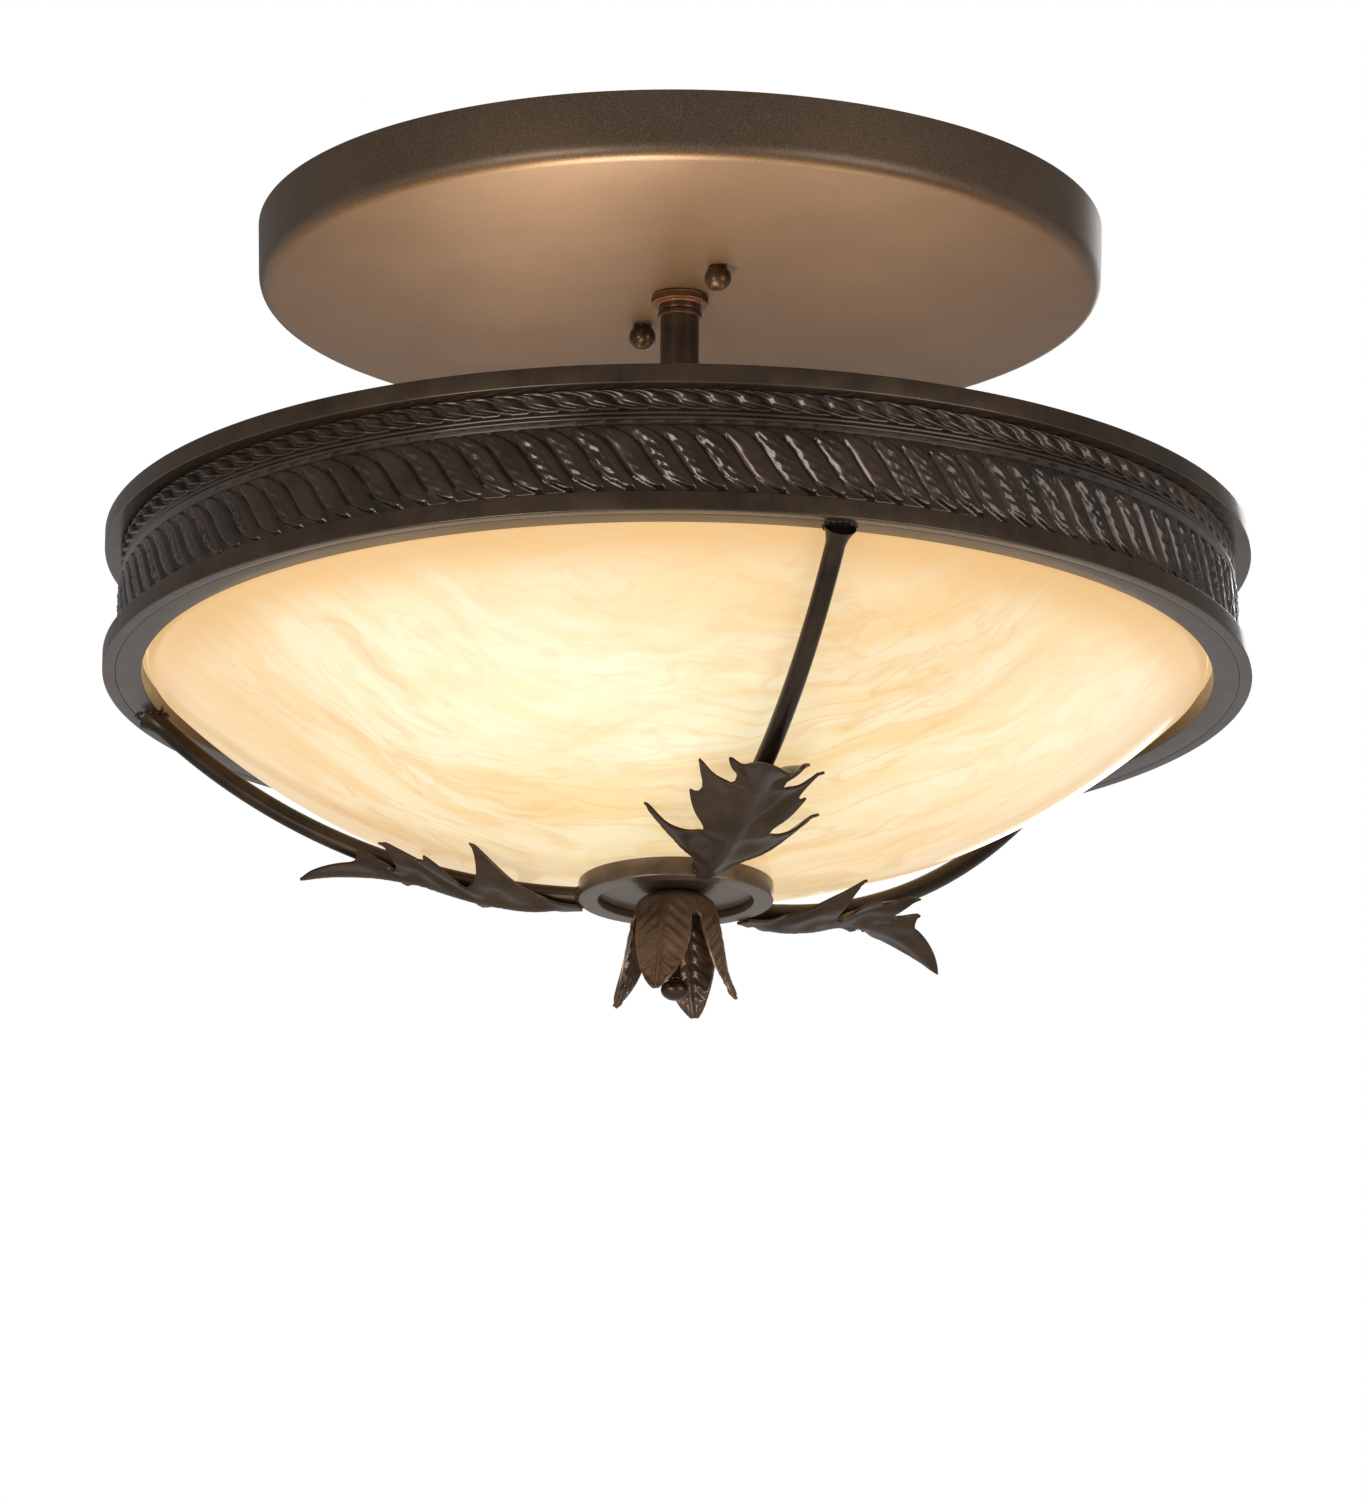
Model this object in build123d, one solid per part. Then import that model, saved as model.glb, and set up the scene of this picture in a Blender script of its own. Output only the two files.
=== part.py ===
from build123d import *
from math import atan2, cos, hypot, pi, radians, sin, sqrt
import os

# A three-lamp flush ceiling light with a marbled glass bowl in an ornamented ring.
# All sizes are in millimetres. Z = 0 is the ceiling, +Z points up, and Z is the light's own axis.
# An azimuth is counted from the front (-Y) towards +X.

# Fits shared by several pieces
thread_clearance = 0.08      # radial play of a part that turns on its screw
seat_gap = 0.3               # play between a removable part and its seat
sheet_fit = 0.5              # radial play of a hole in sheet metal

# Bars that screw to the ceiling box
bar_width = 24.0
bar_sheet = 2.0
bar_offset = 10.0            # how far the middle of the upper bar hangs below the ceiling
bar_end_margin = 12.0        # metal beyond the outermost hole
box_screw_spacing = 88.9
box_screw_hole_radius = 2.6
bar_leg_run = 8.0            # horizontal run of the sloping leg of the upper bar
stud_spacing = 98.4
stud_azimuth = 22.0
stud_radius = 2.08
stud_head_radius = 4.0
stud_head_height = 2.4
stud_nut_flats = 8.7
stud_nut_height = 3.2

# Lamp pipe thread that joins nipple, rod and nuts
pipe_radius = 5.1
pipe_bore_radius = 3.6
pipe_nut_flats = 15.0
pipe_nut_height = 4.0
nipple_end = 1.0             # length of nipple above its upper nut
nipple_engagement = 8.0      # length of nipple inside the neck

# Earth screw
ground_screw_offset = 22.0
ground_screw_radius = 2.4
ground_screw_head_radius = 4.4
ground_screw_head_height = 2.6

# Canopy pan
canopy_radius = 207.6        # at the ceiling
canopy_draft = 0.8           # how much smaller the pan is at its foot
canopy_depth = 33.0
canopy_sheet = 1.2
canopy_corner_radius = 8.0

# Ball nuts and lock ring
ball_nut_radius = 6.6
ball_nut_collar_radius = 4.6
ball_nut_collar_height = 1.0
stud_tip_cover = 1.5         # air between a stud's tip and the bottom of its ball nut's bore
stud_grip = 8.0              # how far a stud reaches below the canopy
lock_ring_radius = 14.0
lock_ring_height = 4.5
lock_ring_chamfer = 0.6

# Stem
neck_thread_radius = 11.6
neck_radius = 11.0
neck_length = 6.5            # length seen below the lock ring
neck_edge_radius = 1.2
neck_web = 4.0               # metal between the nipple's thread and the stem's socket
stem_radius = 9.525
stem_wall = 1.3
wire_radius = 1.0
wire_offset = 1.6            # from the stem's axis to the axis of each supply wire

# Lamp cluster
cluster_drop = 112.0         # ceiling to top of the cluster
cluster_radius = 28.0
cluster_height = 30.0
cluster_wall = 2.5
cluster_cap_thickness = 2.5
stem_insertion = 5.0

# Lamps
lamp_count = 3
first_lamp_azimuth = -20.0
lamp_tilt = 38.0             # below the horizontal
lamp_axis_rise = 2.0         # lamps' common point on the light's axis, above the top of the cluster
socket_arm_radius = 5.0
socket_arm_bore_radius = 3.8
socket_arm_start = 29.0      # along the lamp's axis from the light's axis
socket_start = 46.0
socket_radius = 19.0
socket_back_thickness = 10.0
socket_edge_radius = 2.0
lamp_base_radius = 13.1
lamp_base_length = 24.0
lamp_base_clearance = 0.3
screw_shell_wall = 0.6
screw_shell_length = 26.0
contact_radius = 4.0
contact_height = 1.6
lamp_tip_radius = 4.6
lamp_tip_height = 3.0
bulb_radius = 30.0
bulb_length = 86.0           # from the end of the metal base to the crown
bulb_neck_radius = 13.6
bulb_glass = 1.0
lead_radius = 1.2

# Ring round the bowl
ring_radius = 279.4
ring_drop = 231.5            # ceiling to the underside of the ring
ring_height = 71.2
hoop_height = 9.5
lower_hoop_width = 6.35
upper_hoop_width = 12.7
hoop_edge_radius = 0.8
band_inset = 10.0            # ring's outer wall to the band's plain ground
band_sheet = 1.2
gadroon_bulge = 4.0
gadroon_height = 34.0
gadroon_margin = 1.5         # plain strip under and over the gadroons
bead_height = 2.5
bead_bulge = 2.2
rope_height = 9.0
rope_bulge = 2.6
rest_ring_width = 12.7

# Glass bowl
bowl_depth = 101.0           # below the underside of the ring
bowl_shoulder_radius = 13.0
bowl_thickness = 5.0
bowl_side_clearance = 2.3    # between the bowl's wall and the rest ring
bowl_lip_overhang = 8.5
bowl_lip_thickness = 5.0
rim_gasket_thickness = 1.0
rim_gasket_inset = 0.5
rod_hole_clearance = 1.4

# Hub under the bowl
hub_radius = 47.2
hub_ring_width = 9.5
hub_height = 9.5
hub_edge_radius = 0.8
hub_disc_thickness = 3.5
hub_disc_recess = 3.5        # hub ring's foot to the disc's underside
bowl_gasket_radius = 16.0
bowl_gasket_thickness = 2.0

# Arms
arm_radius = 4.7625
arm_azimuths = {"front": 16.3, "left": -103.7, "right": 136.3}
arm_hub_height = 5.0         # above the foot of the hub ring
arm_hub_slope = 5.7          # rise of the arm where it leaves the hub, in degrees
arm_top_inset = 13.4         # ring's outer wall to the arm's axis, at the underside of the ring
arm_foot_radius = 8.0
arm_foot_height = 5.0

# Oak leaves under the arms
leaf_sheet = 1.5
leaf_length = 142.0
leaf_half_width = 44.0
leaf_dish = 17.0             # rise of the leaf's side lobes above its midrib
leaf_belly = 2.0             # sag of the midrib below the arm
leaf_belly_length = 78.0
leaf_root_half_width = 4.0
leaf_front_grip = 80.0       # root to where the leaf parts from its arm
leaf_left_grip = 80.0
leaf_right_grip = 60.0
leaf_front_rise = 3.0        # from there to the tip, before the tip's curl
leaf_left_rise = 7.0
leaf_right_rise = -3.0
leaf_front_tip_drop = 7.0    # curl of the tip below that line
leaf_left_tip_drop = 0.0
leaf_right_tip_drop = 5.0
leaf_tip_curl_length = 38.0
leaf_corner_radius = 0.8
leaf_blank_margin = 4.0      # dished sheet beyond the outline, before it is cut

# Finial
finial_azimuth = -18.0
finial_leaf_count = 4
finial_cup_sheet = 1.2
finial_dome_flat_radius = 10.0
finial_dome_radius = 20.5
finial_dome_height = 8.0
finial_leaf_length = 55.0    # dome's top to the leaf's tip
finial_leaf_flare = 31.0     # radius at the tips
finial_waist_radius = 24.0
finial_leaf_half_width = 15.0
finial_slit_start = 12.0     # dome's top to where the leaves part
finial_waist_drop = 24.75    # dome's top to the waist
finial_insert_radius = 8.5
finial_insert_length = 18.0
rod_engagement = 16.0        # length of rod inside the finial
finial_stem_radius = 2.6
finial_ball_radius = 7.0
finial_ball_half_height = 5.2
finial_ball_drop = 47.5      # dome's top to the ball's middle

# Levels that follow from the sizes above
bar_middle_top = -bar_offset
bar_middle_foot = bar_middle_top - bar_sheet
stud_bar_foot = bar_middle_foot - bar_sheet
neck_top = stud_bar_foot - pipe_nut_height
canopy_foot = -canopy_depth
lock_ring_top = canopy_foot - seat_gap
lock_ring_foot = lock_ring_top - lock_ring_height
neck_shoulder = lock_ring_foot - seat_gap
neck_foot = neck_shoulder - neck_length
nipple_foot = neck_top - nipple_engagement
stem_top = nipple_foot - neck_web
cluster_top = -cluster_drop
cluster_foot = cluster_top - cluster_height
lamp_axis_height = cluster_top + lamp_axis_rise
stud_tip = canopy_foot - stud_grip
ring_foot = -ring_drop
ring_top = ring_foot + ring_height
rest_ring_top = ring_foot + hoop_height
rest_ring_outer_radius = ring_radius - lower_hoop_width
rest_ring_inner_radius = rest_ring_outer_radius - rest_ring_width
bowl_wall_radius = rest_ring_inner_radius - bowl_side_clearance
bowl_foot = ring_foot - bowl_depth
bowl_lip_foot = rest_ring_top + rim_gasket_thickness
bowl_lip_top = bowl_lip_foot + bowl_lip_thickness
bowl_hole_radius = pipe_radius + rod_hole_clearance
band_ground_radius = ring_radius - band_inset
band_back_radius = band_ground_radius - band_sheet
hub_disc_top = bowl_foot - bowl_gasket_thickness
hub_disc_foot = hub_disc_top - hub_disc_thickness
hub_foot = hub_disc_foot - hub_disc_recess
hub_top = hub_foot + hub_height
arm_hub_level = hub_foot + arm_hub_height
finial_top = hub_disc_foot - seat_gap
rod_foot = finial_top - rod_engagement

# The bowl's shoulder ends level with the foot of its lip, which settles how round the bowl is.
bowl_shoulder_rise = bowl_lip_foot - bowl_foot
bowl_shoulder_reach = bowl_wall_radius - bowl_shoulder_radius
bowl_sphere_radius = (bowl_shoulder_reach**2 + bowl_shoulder_rise**2 - bowl_shoulder_radius**2) / (
    2 * (bowl_shoulder_rise - bowl_shoulder_radius)
)

nodes = {}


def turned(*outline):
    """A full turn of a closed (radius, height) outline of straight lines."""
    return revolve(Plane.XZ * make_face(Polyline(*outline, close=True)), Axis.Z)


def tube(inner, outer, low, high):
    """A straight-walled ring or, with no inner radius, a disc."""
    if inner == 0:
        return turned((0, low), (outer, low), (outer, high), (0, high))
    return turned((inner, low), (outer, low), (outer, high), (inner, high))


def hoop(inner, outer, low, high, edge_radius):
    """A ring with rounded outer edges."""
    ring = tube(inner, outer, low, high)
    rims = ring.edges().filter_by(GeomType.CIRCLE)
    outer_rims = [edge for edge in rims if abs(edge.radius - outer) < edge_radius / 2]
    return fillet(outer_rims, min(edge_radius, (high - low) / 3))


def hexagon(flats, low, height, bore):
    """A hex nut standing on the level low."""
    nut = extrude(Plane.XY.offset(low) * RegularPolygon(flats / 2, 6, major_radius=False), height)
    return nut - tube(0, bore, low - height, low + 2 * height)


def at_azimuth(shape, azimuth):
    """Turns a shape made along +X to an azimuth."""
    return Rot(0, 0, azimuth - 90) * shape


def along_lamp(shape, azimuth):
    """Puts a shape made along +Z from the origin onto a lamp's axis."""
    tilted = Pos(0, 0, lamp_axis_height) * Rot(0, 90 + lamp_tilt, 0) * shape
    return at_azimuth(tilted, azimuth)


def both_studs(shape):
    """A shape made on the Z axis, at both canopy studs."""
    half = stud_spacing / 2
    pair = Pos(half, 0, 0) * shape + Pos(-half, 0, 0) * shape
    return at_azimuth(pair, stud_azimuth)


def ceiling_bars():
    """The jogged bar on the ceiling box and the straight bar under it that holds the studs."""
    end = box_screw_spacing / 2 + bar_end_margin
    pad = box_screw_spacing / 2 - bar_end_margin
    knee = pad - bar_leg_run
    side = [
        (end, 0), (pad, 0), (knee, bar_middle_top), (-knee, bar_middle_top), (-pad, 0), (-end, 0),
        (-end, -bar_sheet), (-pad, -bar_sheet), (-knee, bar_middle_foot), (knee, bar_middle_foot),
        (pad, -bar_sheet), (end, -bar_sheet),
    ]
    strip = extrude(Plane.XZ * make_face(Polyline(*side, close=True)), bar_width / 2, both=True)
    hole = tube(0, box_screw_hole_radius, -2 * bar_sheet, bar_sheet)
    for sign in (1, -1):
        strip -= Pos(sign * box_screw_spacing / 2, 0, 0) * hole
    strip -= tube(0, pipe_radius, stud_bar_foot, 0)
    nodes["ceiling_bar"] = at_azimuth(strip, stud_azimuth + 90)

    length = stud_spacing + 2 * bar_end_margin
    straight = Pos(0, 0, bar_middle_foot - bar_sheet / 2) * Box(length, bar_width, bar_sheet)
    straight -= tube(0, pipe_radius, stud_bar_foot - bar_sheet, bar_middle_foot + bar_sheet)
    screw_hole = tube(0, ground_screw_radius, stud_bar_foot - bar_sheet, bar_middle_foot + bar_sheet)
    straight -= Pos(ground_screw_offset, 0, 0) * screw_hole
    straight = at_azimuth(straight, stud_azimuth)
    nodes["stud_bar"] = straight - both_studs(tube(0, stud_radius, stud_bar_foot - bar_sheet, 0))

    head_foot = stud_bar_foot - ground_screw_head_height
    head = tube(0, ground_screw_head_radius, head_foot, stud_bar_foot)
    slot = Pos(0, 0, head_foot) * Box(2 * ground_screw_head_radius, 1, ground_screw_head_height)
    screw = head - slot + tube(0, ground_screw_radius, stud_bar_foot, bar_middle_foot)
    nodes["ground_screw"] = at_azimuth(Pos(ground_screw_offset, 0, 0) * screw, stud_azimuth)


def hanging_hardware():
    """Nipple, its two nuts, the canopy studs and their nuts."""
    nipple_top = bar_middle_top + pipe_nut_height + nipple_end
    nodes["hanger_nipple"] = tube(pipe_bore_radius, pipe_radius, nipple_foot, nipple_top)
    upper = hexagon(pipe_nut_flats, bar_middle_top, pipe_nut_height, pipe_radius)
    lower = hexagon(pipe_nut_flats, stud_bar_foot - pipe_nut_height, pipe_nut_height, pipe_radius)
    nodes["nipple_nuts"] = upper + lower

    head = tube(0, stud_head_radius, bar_middle_foot, bar_middle_foot + stud_head_height)
    nodes["canopy_studs"] = both_studs(head + tube(0, stud_radius, stud_tip, bar_middle_foot))
    nut = hexagon(stud_nut_flats, stud_bar_foot - stud_nut_height, stud_nut_height, stud_radius)
    nodes["stud_nuts"] = both_studs(nut)


def stem():
    """Neck, stem tube and the two supply wires inside."""
    neck = tube(0, neck_thread_radius, neck_shoulder, neck_top)
    grip = tube(0, neck_radius, neck_foot, neck_shoulder)
    grip = fillet(grip.edges().group_by(Axis.Z)[0], neck_edge_radius)
    neck += grip
    neck -= tube(0, pipe_radius, nipple_foot, neck_top)
    neck -= tube(0, pipe_bore_radius, stem_top, nipple_foot)
    neck -= tube(0, stem_radius, neck_foot, stem_top)
    nodes["stem_neck"] = neck

    stem_foot = cluster_top - stem_insertion
    nodes["stem_tube"] = tube(stem_radius - stem_wall, stem_radius, stem_foot, stem_top)
    wire = tube(0, wire_radius, stem_foot, bar_middle_top + pipe_nut_height + nipple_end)
    nodes["live_wire"] = Pos(wire_offset, 0, 0) * wire
    nodes["neutral_wire"] = Pos(-wire_offset, 0, 0) * wire


def canopy():
    """The drawn pan, the ball nuts that hold its edge and the lock ring that holds its middle."""
    foot_radius = canopy_radius - canopy_draft
    outline = FilletPolyline(
        (0, canopy_foot), (foot_radius, canopy_foot), (canopy_radius, 0), (0, 0),
        radius=[0, canopy_corner_radius, 0, 0], close=True,
    )
    inner_corner = canopy_corner_radius - canopy_sheet
    hollow = FilletPolyline(
        (0, canopy_foot + canopy_sheet), (foot_radius - canopy_sheet, canopy_foot + canopy_sheet),
        (canopy_radius - canopy_sheet, 0), (0, 0),
        radius=[0, inner_corner, 0, 0], close=True,
    )
    pan = revolve(Plane.XZ * make_face(outline), Axis.Z) - revolve(Plane.XZ * make_face(hollow), Axis.Z)
    middle = neck_thread_radius + sheet_fit
    pan -= tube(0, middle, 2 * canopy_foot, 0)
    pan -= both_studs(tube(0, stud_radius + sheet_fit, 2 * canopy_foot, 0))
    nodes["canopy_pan"] = pan

    collar_top = canopy_foot - seat_gap
    collar_foot = collar_top - ball_nut_collar_height
    centre = collar_foot - sqrt(ball_nut_radius**2 - ball_nut_collar_radius**2)
    nut = Pos(0, 0, centre) * Sphere(ball_nut_radius)
    nut -= tube(0, 2 * ball_nut_radius, collar_foot, 0)
    nut += tube(0, ball_nut_collar_radius, collar_foot, collar_top)
    nut -= tube(0, stud_radius + thread_clearance, stud_tip - stud_tip_cover, collar_top)
    for name, azimuth in (("front", stud_azimuth), ("back", stud_azimuth + 180)):
        nodes[f"ball_nut_{name}"] = at_azimuth(Pos(stud_spacing / 2, 0, 0) * nut, azimuth)

    bore = neck_thread_radius + thread_clearance
    ring = tube(bore, lock_ring_radius, lock_ring_foot, lock_ring_top)
    halfway = (bore + lock_ring_radius) / 2
    rims = [edge for edge in ring.edges().filter_by(GeomType.CIRCLE) if edge.radius > halfway]
    nodes["lock_ring"] = chamfer(rims, lock_ring_chamfer)


def cluster():
    """The cup that joins stem, lamp sockets and rod, with its cap, nuts and rod."""
    inner = cluster_radius - cluster_wall
    cup = tube(0, cluster_radius, cluster_foot, cluster_top)
    cup -= tube(0, inner, cluster_foot, cluster_top - cluster_wall)
    cup = fillet(cup.edges().group_by(Axis.Z)[-1], cluster_wall)
    cup -= tube(0, stem_radius, cluster_top - cluster_wall, cluster_top)
    for azimuth in lamp_azimuths():
        cup -= along_lamp(tube(0, socket_arm_radius, 0, socket_start), azimuth)
    nodes["cluster_body"] = cup

    cap_foot = cluster_foot - cluster_cap_thickness
    nodes["cluster_cap"] = tube(pipe_radius, cluster_radius, cap_foot, cluster_foot)
    inner_nut = hexagon(pipe_nut_flats, cluster_foot, pipe_nut_height, pipe_radius)
    outer_nut = hexagon(pipe_nut_flats, cap_foot - pipe_nut_height, pipe_nut_height, pipe_radius)
    nodes["rod_nuts"] = inner_nut + outer_nut
    nodes["centre_rod"] = tube(0, pipe_radius, rod_foot, cluster_foot + pipe_nut_height)


def lamp_azimuths():
    """Where the lamps point, evenly round the light."""
    return [first_lamp_azimuth + number * 360 / lamp_count for number in range(lamp_count)]


def lamps():
    """For each lamp its arm, socket, screw shell, contact, lead and bulb, made along +Z from the axis."""
    floor = socket_start + socket_back_thickness
    shell_outer = lamp_base_radius + lamp_base_clearance + screw_shell_wall
    shell_inner = shell_outer - screw_shell_wall
    base_start = floor + contact_height + seat_gap
    thread_start = base_start + lamp_tip_height
    base_end = thread_start + lamp_base_length
    mouth = base_end

    arm = tube(socket_arm_bore_radius, socket_arm_radius, socket_arm_start, socket_start)
    socket = tube(0, socket_radius, socket_start, mouth)
    socket = fillet(socket.edges().group_by(Axis.Z)[0], socket_edge_radius)
    socket -= tube(0, shell_outer, floor, mouth)
    shell = tube(shell_inner, shell_outer, floor, floor + screw_shell_length)
    contact = tube(0, contact_radius, floor, floor + contact_height)
    lead = tube(0, lead_radius, socket_arm_start, socket_start)

    base = turned(
        (0, base_start), (lamp_tip_radius, base_start), (lamp_base_radius, thread_start),
        (lamp_base_radius, base_end), (0, base_end),
    )
    crown = base_end + bulb_length
    belly = crown - bulb_radius
    side = TangentArc((bulb_radius, belly), (0, crown), tangent=(0, 1))
    slope = Spline(
        (bulb_neck_radius, base_end), (bulb_radius, belly), tangents=[(0.1, 1), (0, 1)],
    )
    closing = Polyline((0, crown), (0, base_end), (bulb_neck_radius, base_end))
    outer = revolve(Plane.XZ * make_face(Wire([*slope.edges(), *side.edges(), *closing.edges()])), Axis.Z)
    inside_top = TangentArc((bulb_radius - bulb_glass, belly), (0, crown - bulb_glass), tangent=(0, 1))
    inside_slope = Spline(
        (bulb_neck_radius - bulb_glass, base_end), (bulb_radius - bulb_glass, belly),
        tangents=[(0.1, 1), (0, 1)],
    )
    inside_closing = Polyline(
        (0, crown - bulb_glass), (0, base_end), (bulb_neck_radius - bulb_glass, base_end),
    )
    inside_edges = [*inside_slope.edges(), *inside_top.edges(), *inside_closing.edges()]
    glass = outer - revolve(Plane.XZ * make_face(Wire(inside_edges)), Axis.Z)

    leads = []
    for number, azimuth in enumerate(lamp_azimuths(), start=1):
        nodes[f"socket_arm_{number}"] = along_lamp(arm, azimuth)
        nodes[f"socket_{number}"] = along_lamp(socket, azimuth)
        nodes[f"screw_shell_{number}"] = along_lamp(shell, azimuth)
        nodes[f"contact_{number}"] = along_lamp(contact, azimuth)
        nodes[f"bulb_base_{number}"] = along_lamp(base, azimuth)
        nodes[f"bulb_glass_{number}"] = along_lamp(glass, azimuth)
        leads.append(along_lamp(lead, azimuth))
    nodes["lamp_leads"] = Compound(children=leads)


def ring():
    """Upper and lower hoops, the moulded band between them and the flat ring that carries the bowl."""
    lower_inner = ring_radius - lower_hoop_width
    upper_inner = ring_radius - upper_hoop_width
    nodes["lower_hoop"] = hoop(lower_inner, ring_radius, ring_foot, rest_ring_top, hoop_edge_radius)
    nodes["upper_hoop"] = hoop(upper_inner, ring_radius, ring_top - hoop_height, ring_top, hoop_edge_radius)
    nodes["bowl_rest_ring"] = tube(rest_ring_inner_radius, rest_ring_outer_radius, ring_foot, rest_ring_top)

    ground = band_ground_radius
    gadroon_foot = rest_ring_top + gadroon_margin
    gadroon_top = gadroon_foot + gadroon_height
    lower_bead_foot = gadroon_top + gadroon_margin
    upper_bead_foot = lower_bead_foot + bead_height
    upper_bead_top = upper_bead_foot + bead_height
    band_top = ring_top - hoop_height
    rope_foot = band_top - rope_height
    edges = [
        Line((ground, rest_ring_top), (ground, gadroon_foot)),
        ThreePointArc(
            (ground, gadroon_foot),
            (ground + gadroon_bulge, gadroon_foot + gadroon_height / 2),
            (ground, gadroon_top),
        ),
        Line((ground, gadroon_top), (ground, lower_bead_foot)),
    ]
    for foot in (lower_bead_foot, upper_bead_foot):
        middle = (ground + bead_bulge, foot + bead_height / 2)
        edges.append(ThreePointArc((ground, foot), middle, (ground, foot + bead_height)))
    edges.append(Line((ground, upper_bead_top), (ground, rope_foot)))
    rope_middle = (ground + rope_bulge, rope_foot + rope_height / 2)
    edges.append(ThreePointArc((ground, rope_foot), rope_middle, (ground, band_top)))
    edges += Polyline(
        (ground, band_top), (band_back_radius, band_top),
        (band_back_radius, rest_ring_top), (ground, rest_ring_top),
    ).edges()
    nodes["embossed_band"] = revolve(Plane.XZ * make_face(Wire(edges)), Axis.Z)


def bowl_wall_points(inset):
    """(r, z) of hole, half way, and foot, middle and top of the shoulder, on a skin inset from the outer one."""
    centre = bowl_foot + bowl_sphere_radius
    radius = bowl_shoulder_radius - inset
    low_angle = atan2(bowl_lip_foot - centre, bowl_shoulder_reach)
    low = (bowl_shoulder_reach + radius * cos(low_angle), bowl_lip_foot + radius * sin(low_angle))
    middle = (
        bowl_shoulder_reach + radius * cos(low_angle / 2),
        bowl_lip_foot + radius * sin(low_angle / 2),
    )
    high = (bowl_shoulder_reach + radius, bowl_lip_foot)
    sphere = bowl_sphere_radius - inset
    hole_z = centre - sqrt(sphere**2 - bowl_hole_radius**2)
    half = atan2(bowl_hole_radius, sphere) / 2 + atan2(low[0], centre - low[1]) / 2
    half_way = (sphere * sin(half), centre - sphere * cos(half))
    return (bowl_hole_radius, hole_z), half_way, low, middle, high


def bowl():
    """The shallow glass bowl with its out-turned lip, and the soft rings above and below it."""
    out_hole, out_half, out_low, out_middle, out_high = bowl_wall_points(0)
    in_hole, in_half, in_low, in_middle, in_high = bowl_wall_points(bowl_thickness)
    lip_radius = bowl_wall_radius + bowl_lip_overhang
    rim = Polyline(
        out_high, (lip_radius, bowl_lip_foot),
        (lip_radius, bowl_lip_top), (bowl_wall_radius - bowl_thickness, bowl_lip_top), in_high,
    )
    edges = [
        ThreePointArc(out_hole, out_half, out_low),
        ThreePointArc(out_low, out_middle, out_high),
        *rim.edges(),
        ThreePointArc(in_high, in_middle, in_low),
        ThreePointArc(in_low, in_half, in_hole),
        Line(in_hole, out_hole),
    ]
    nodes["glass_bowl"] = revolve(Plane.XZ * make_face(Wire(edges)), Axis.Z)
    nodes["rim_gasket"] = tube(
        rest_ring_inner_radius + rim_gasket_inset, lip_radius - rim_gasket_inset, rest_ring_top, bowl_lip_foot
    )
    nodes["bowl_gasket"] = tube(bowl_hole_radius, bowl_gasket_radius, hub_disc_top, bowl_foot)


def hub():
    """The ring and the disc where the arms meet."""
    inner = hub_radius - hub_ring_width
    nodes["hub_ring"] = hoop(inner, hub_radius, hub_foot, hub_top, hub_edge_radius)
    nodes["hub_disc"] = tube(pipe_radius + seat_gap, inner, hub_disc_foot, hub_disc_top)


def arm_arc():
    """Centre, in (r, z), and radius of the arc that an arm follows from the hub to the ring."""
    rise = ring_foot - arm_hub_level
    run = ring_radius - arm_top_inset - hub_radius
    slope = radians(arm_hub_slope)
    half_turn = atan2(rise, run) - slope
    radius = hypot(run, rise) / (2 * sin(half_turn))
    centre = (hub_radius - radius * sin(slope), arm_hub_level + radius * cos(slope))
    return centre, radius


def arm_height(r):
    """Height of an arm's axis at a distance r from the light's axis."""
    centre, radius = arm_arc()
    return centre[1] - sqrt(radius**2 - (r - centre[0]) ** 2)


def arm_slope(r):
    """Rise of an arm's axis for each unit outwards, at a distance r from the light's axis."""
    centre, radius = arm_arc()
    return (r - centre[0]) / sqrt(radius**2 - (r - centre[0]) ** 2)


def arms():
    """Three bent rods from the hub ring to the underside of the ring, each with a flared foot at the ring."""
    (centre_r, centre_z), radius = arm_arc()
    top_r = ring_radius - arm_top_inset

    def on_arc(angle):
        """The point of the arc at an angle about its centre."""
        return (centre_r + radius * cos(angle), centre_z + radius * sin(angle))

    hub_angle = atan2(arm_hub_level - centre_z, hub_radius - centre_r) - arm_radius / radius
    top_angle = atan2(ring_foot - centre_z, top_r - centre_r) + 2 * arm_radius / radius
    middle_angle = (hub_angle + top_angle) / 2
    arc = ThreePointArc(on_arc(hub_angle), on_arc(middle_angle), on_arc(top_angle))
    path = Plane.XZ * Wire([arc])
    section = Plane(origin=path @ 0, z_dir=path % 0) * Circle(arm_radius)
    rod = sweep(section, path=path)

    foot_middle = Pos(top_r - arm_foot_height / 2, 0, ring_foot - arm_foot_height / 2)
    rod += foot_middle * Cone(arm_radius, arm_foot_radius, arm_foot_height)
    above = 4 * arm_radius
    rod -= Pos(top_r, 0, ring_foot + above / 2) * Box(2 * above, 2 * above, above)
    rod -= tube(0, hub_radius, 2 * hub_foot, 0)
    for name, azimuth in arm_azimuths.items():
        nodes[f"arm_{name}"] = at_azimuth(rod, azimuth)


def leaf_level(r, across, grip, rise, tip_drop):
    """Height of a leaf's upper face at r from the light's axis and across from the midrib.

    The leaf lies under its arm as far as the grip reaches, leaves it smoothly and curls down at its tip.
    """
    along = r - hub_radius
    under_arm = arm_height(hub_radius + min(along, grip)) - arm_radius - seat_gap
    free_length = leaf_length - grip
    free = max(along - grip, 0) / free_length
    start = arm_slope(hub_radius + grip) * free_length
    line = under_arm + start * free + (rise - start) * free**2
    belly = leaf_belly * sin(pi * min(max(along / leaf_belly_length, 0), 1)) ** 2
    curl = max(along - leaf_length + leaf_tip_curl_length, 0) / leaf_tip_curl_length
    dish = leaf_dish * (across / leaf_half_width) ** 2
    return line - belly - tip_drop * curl**2 + dish


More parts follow.
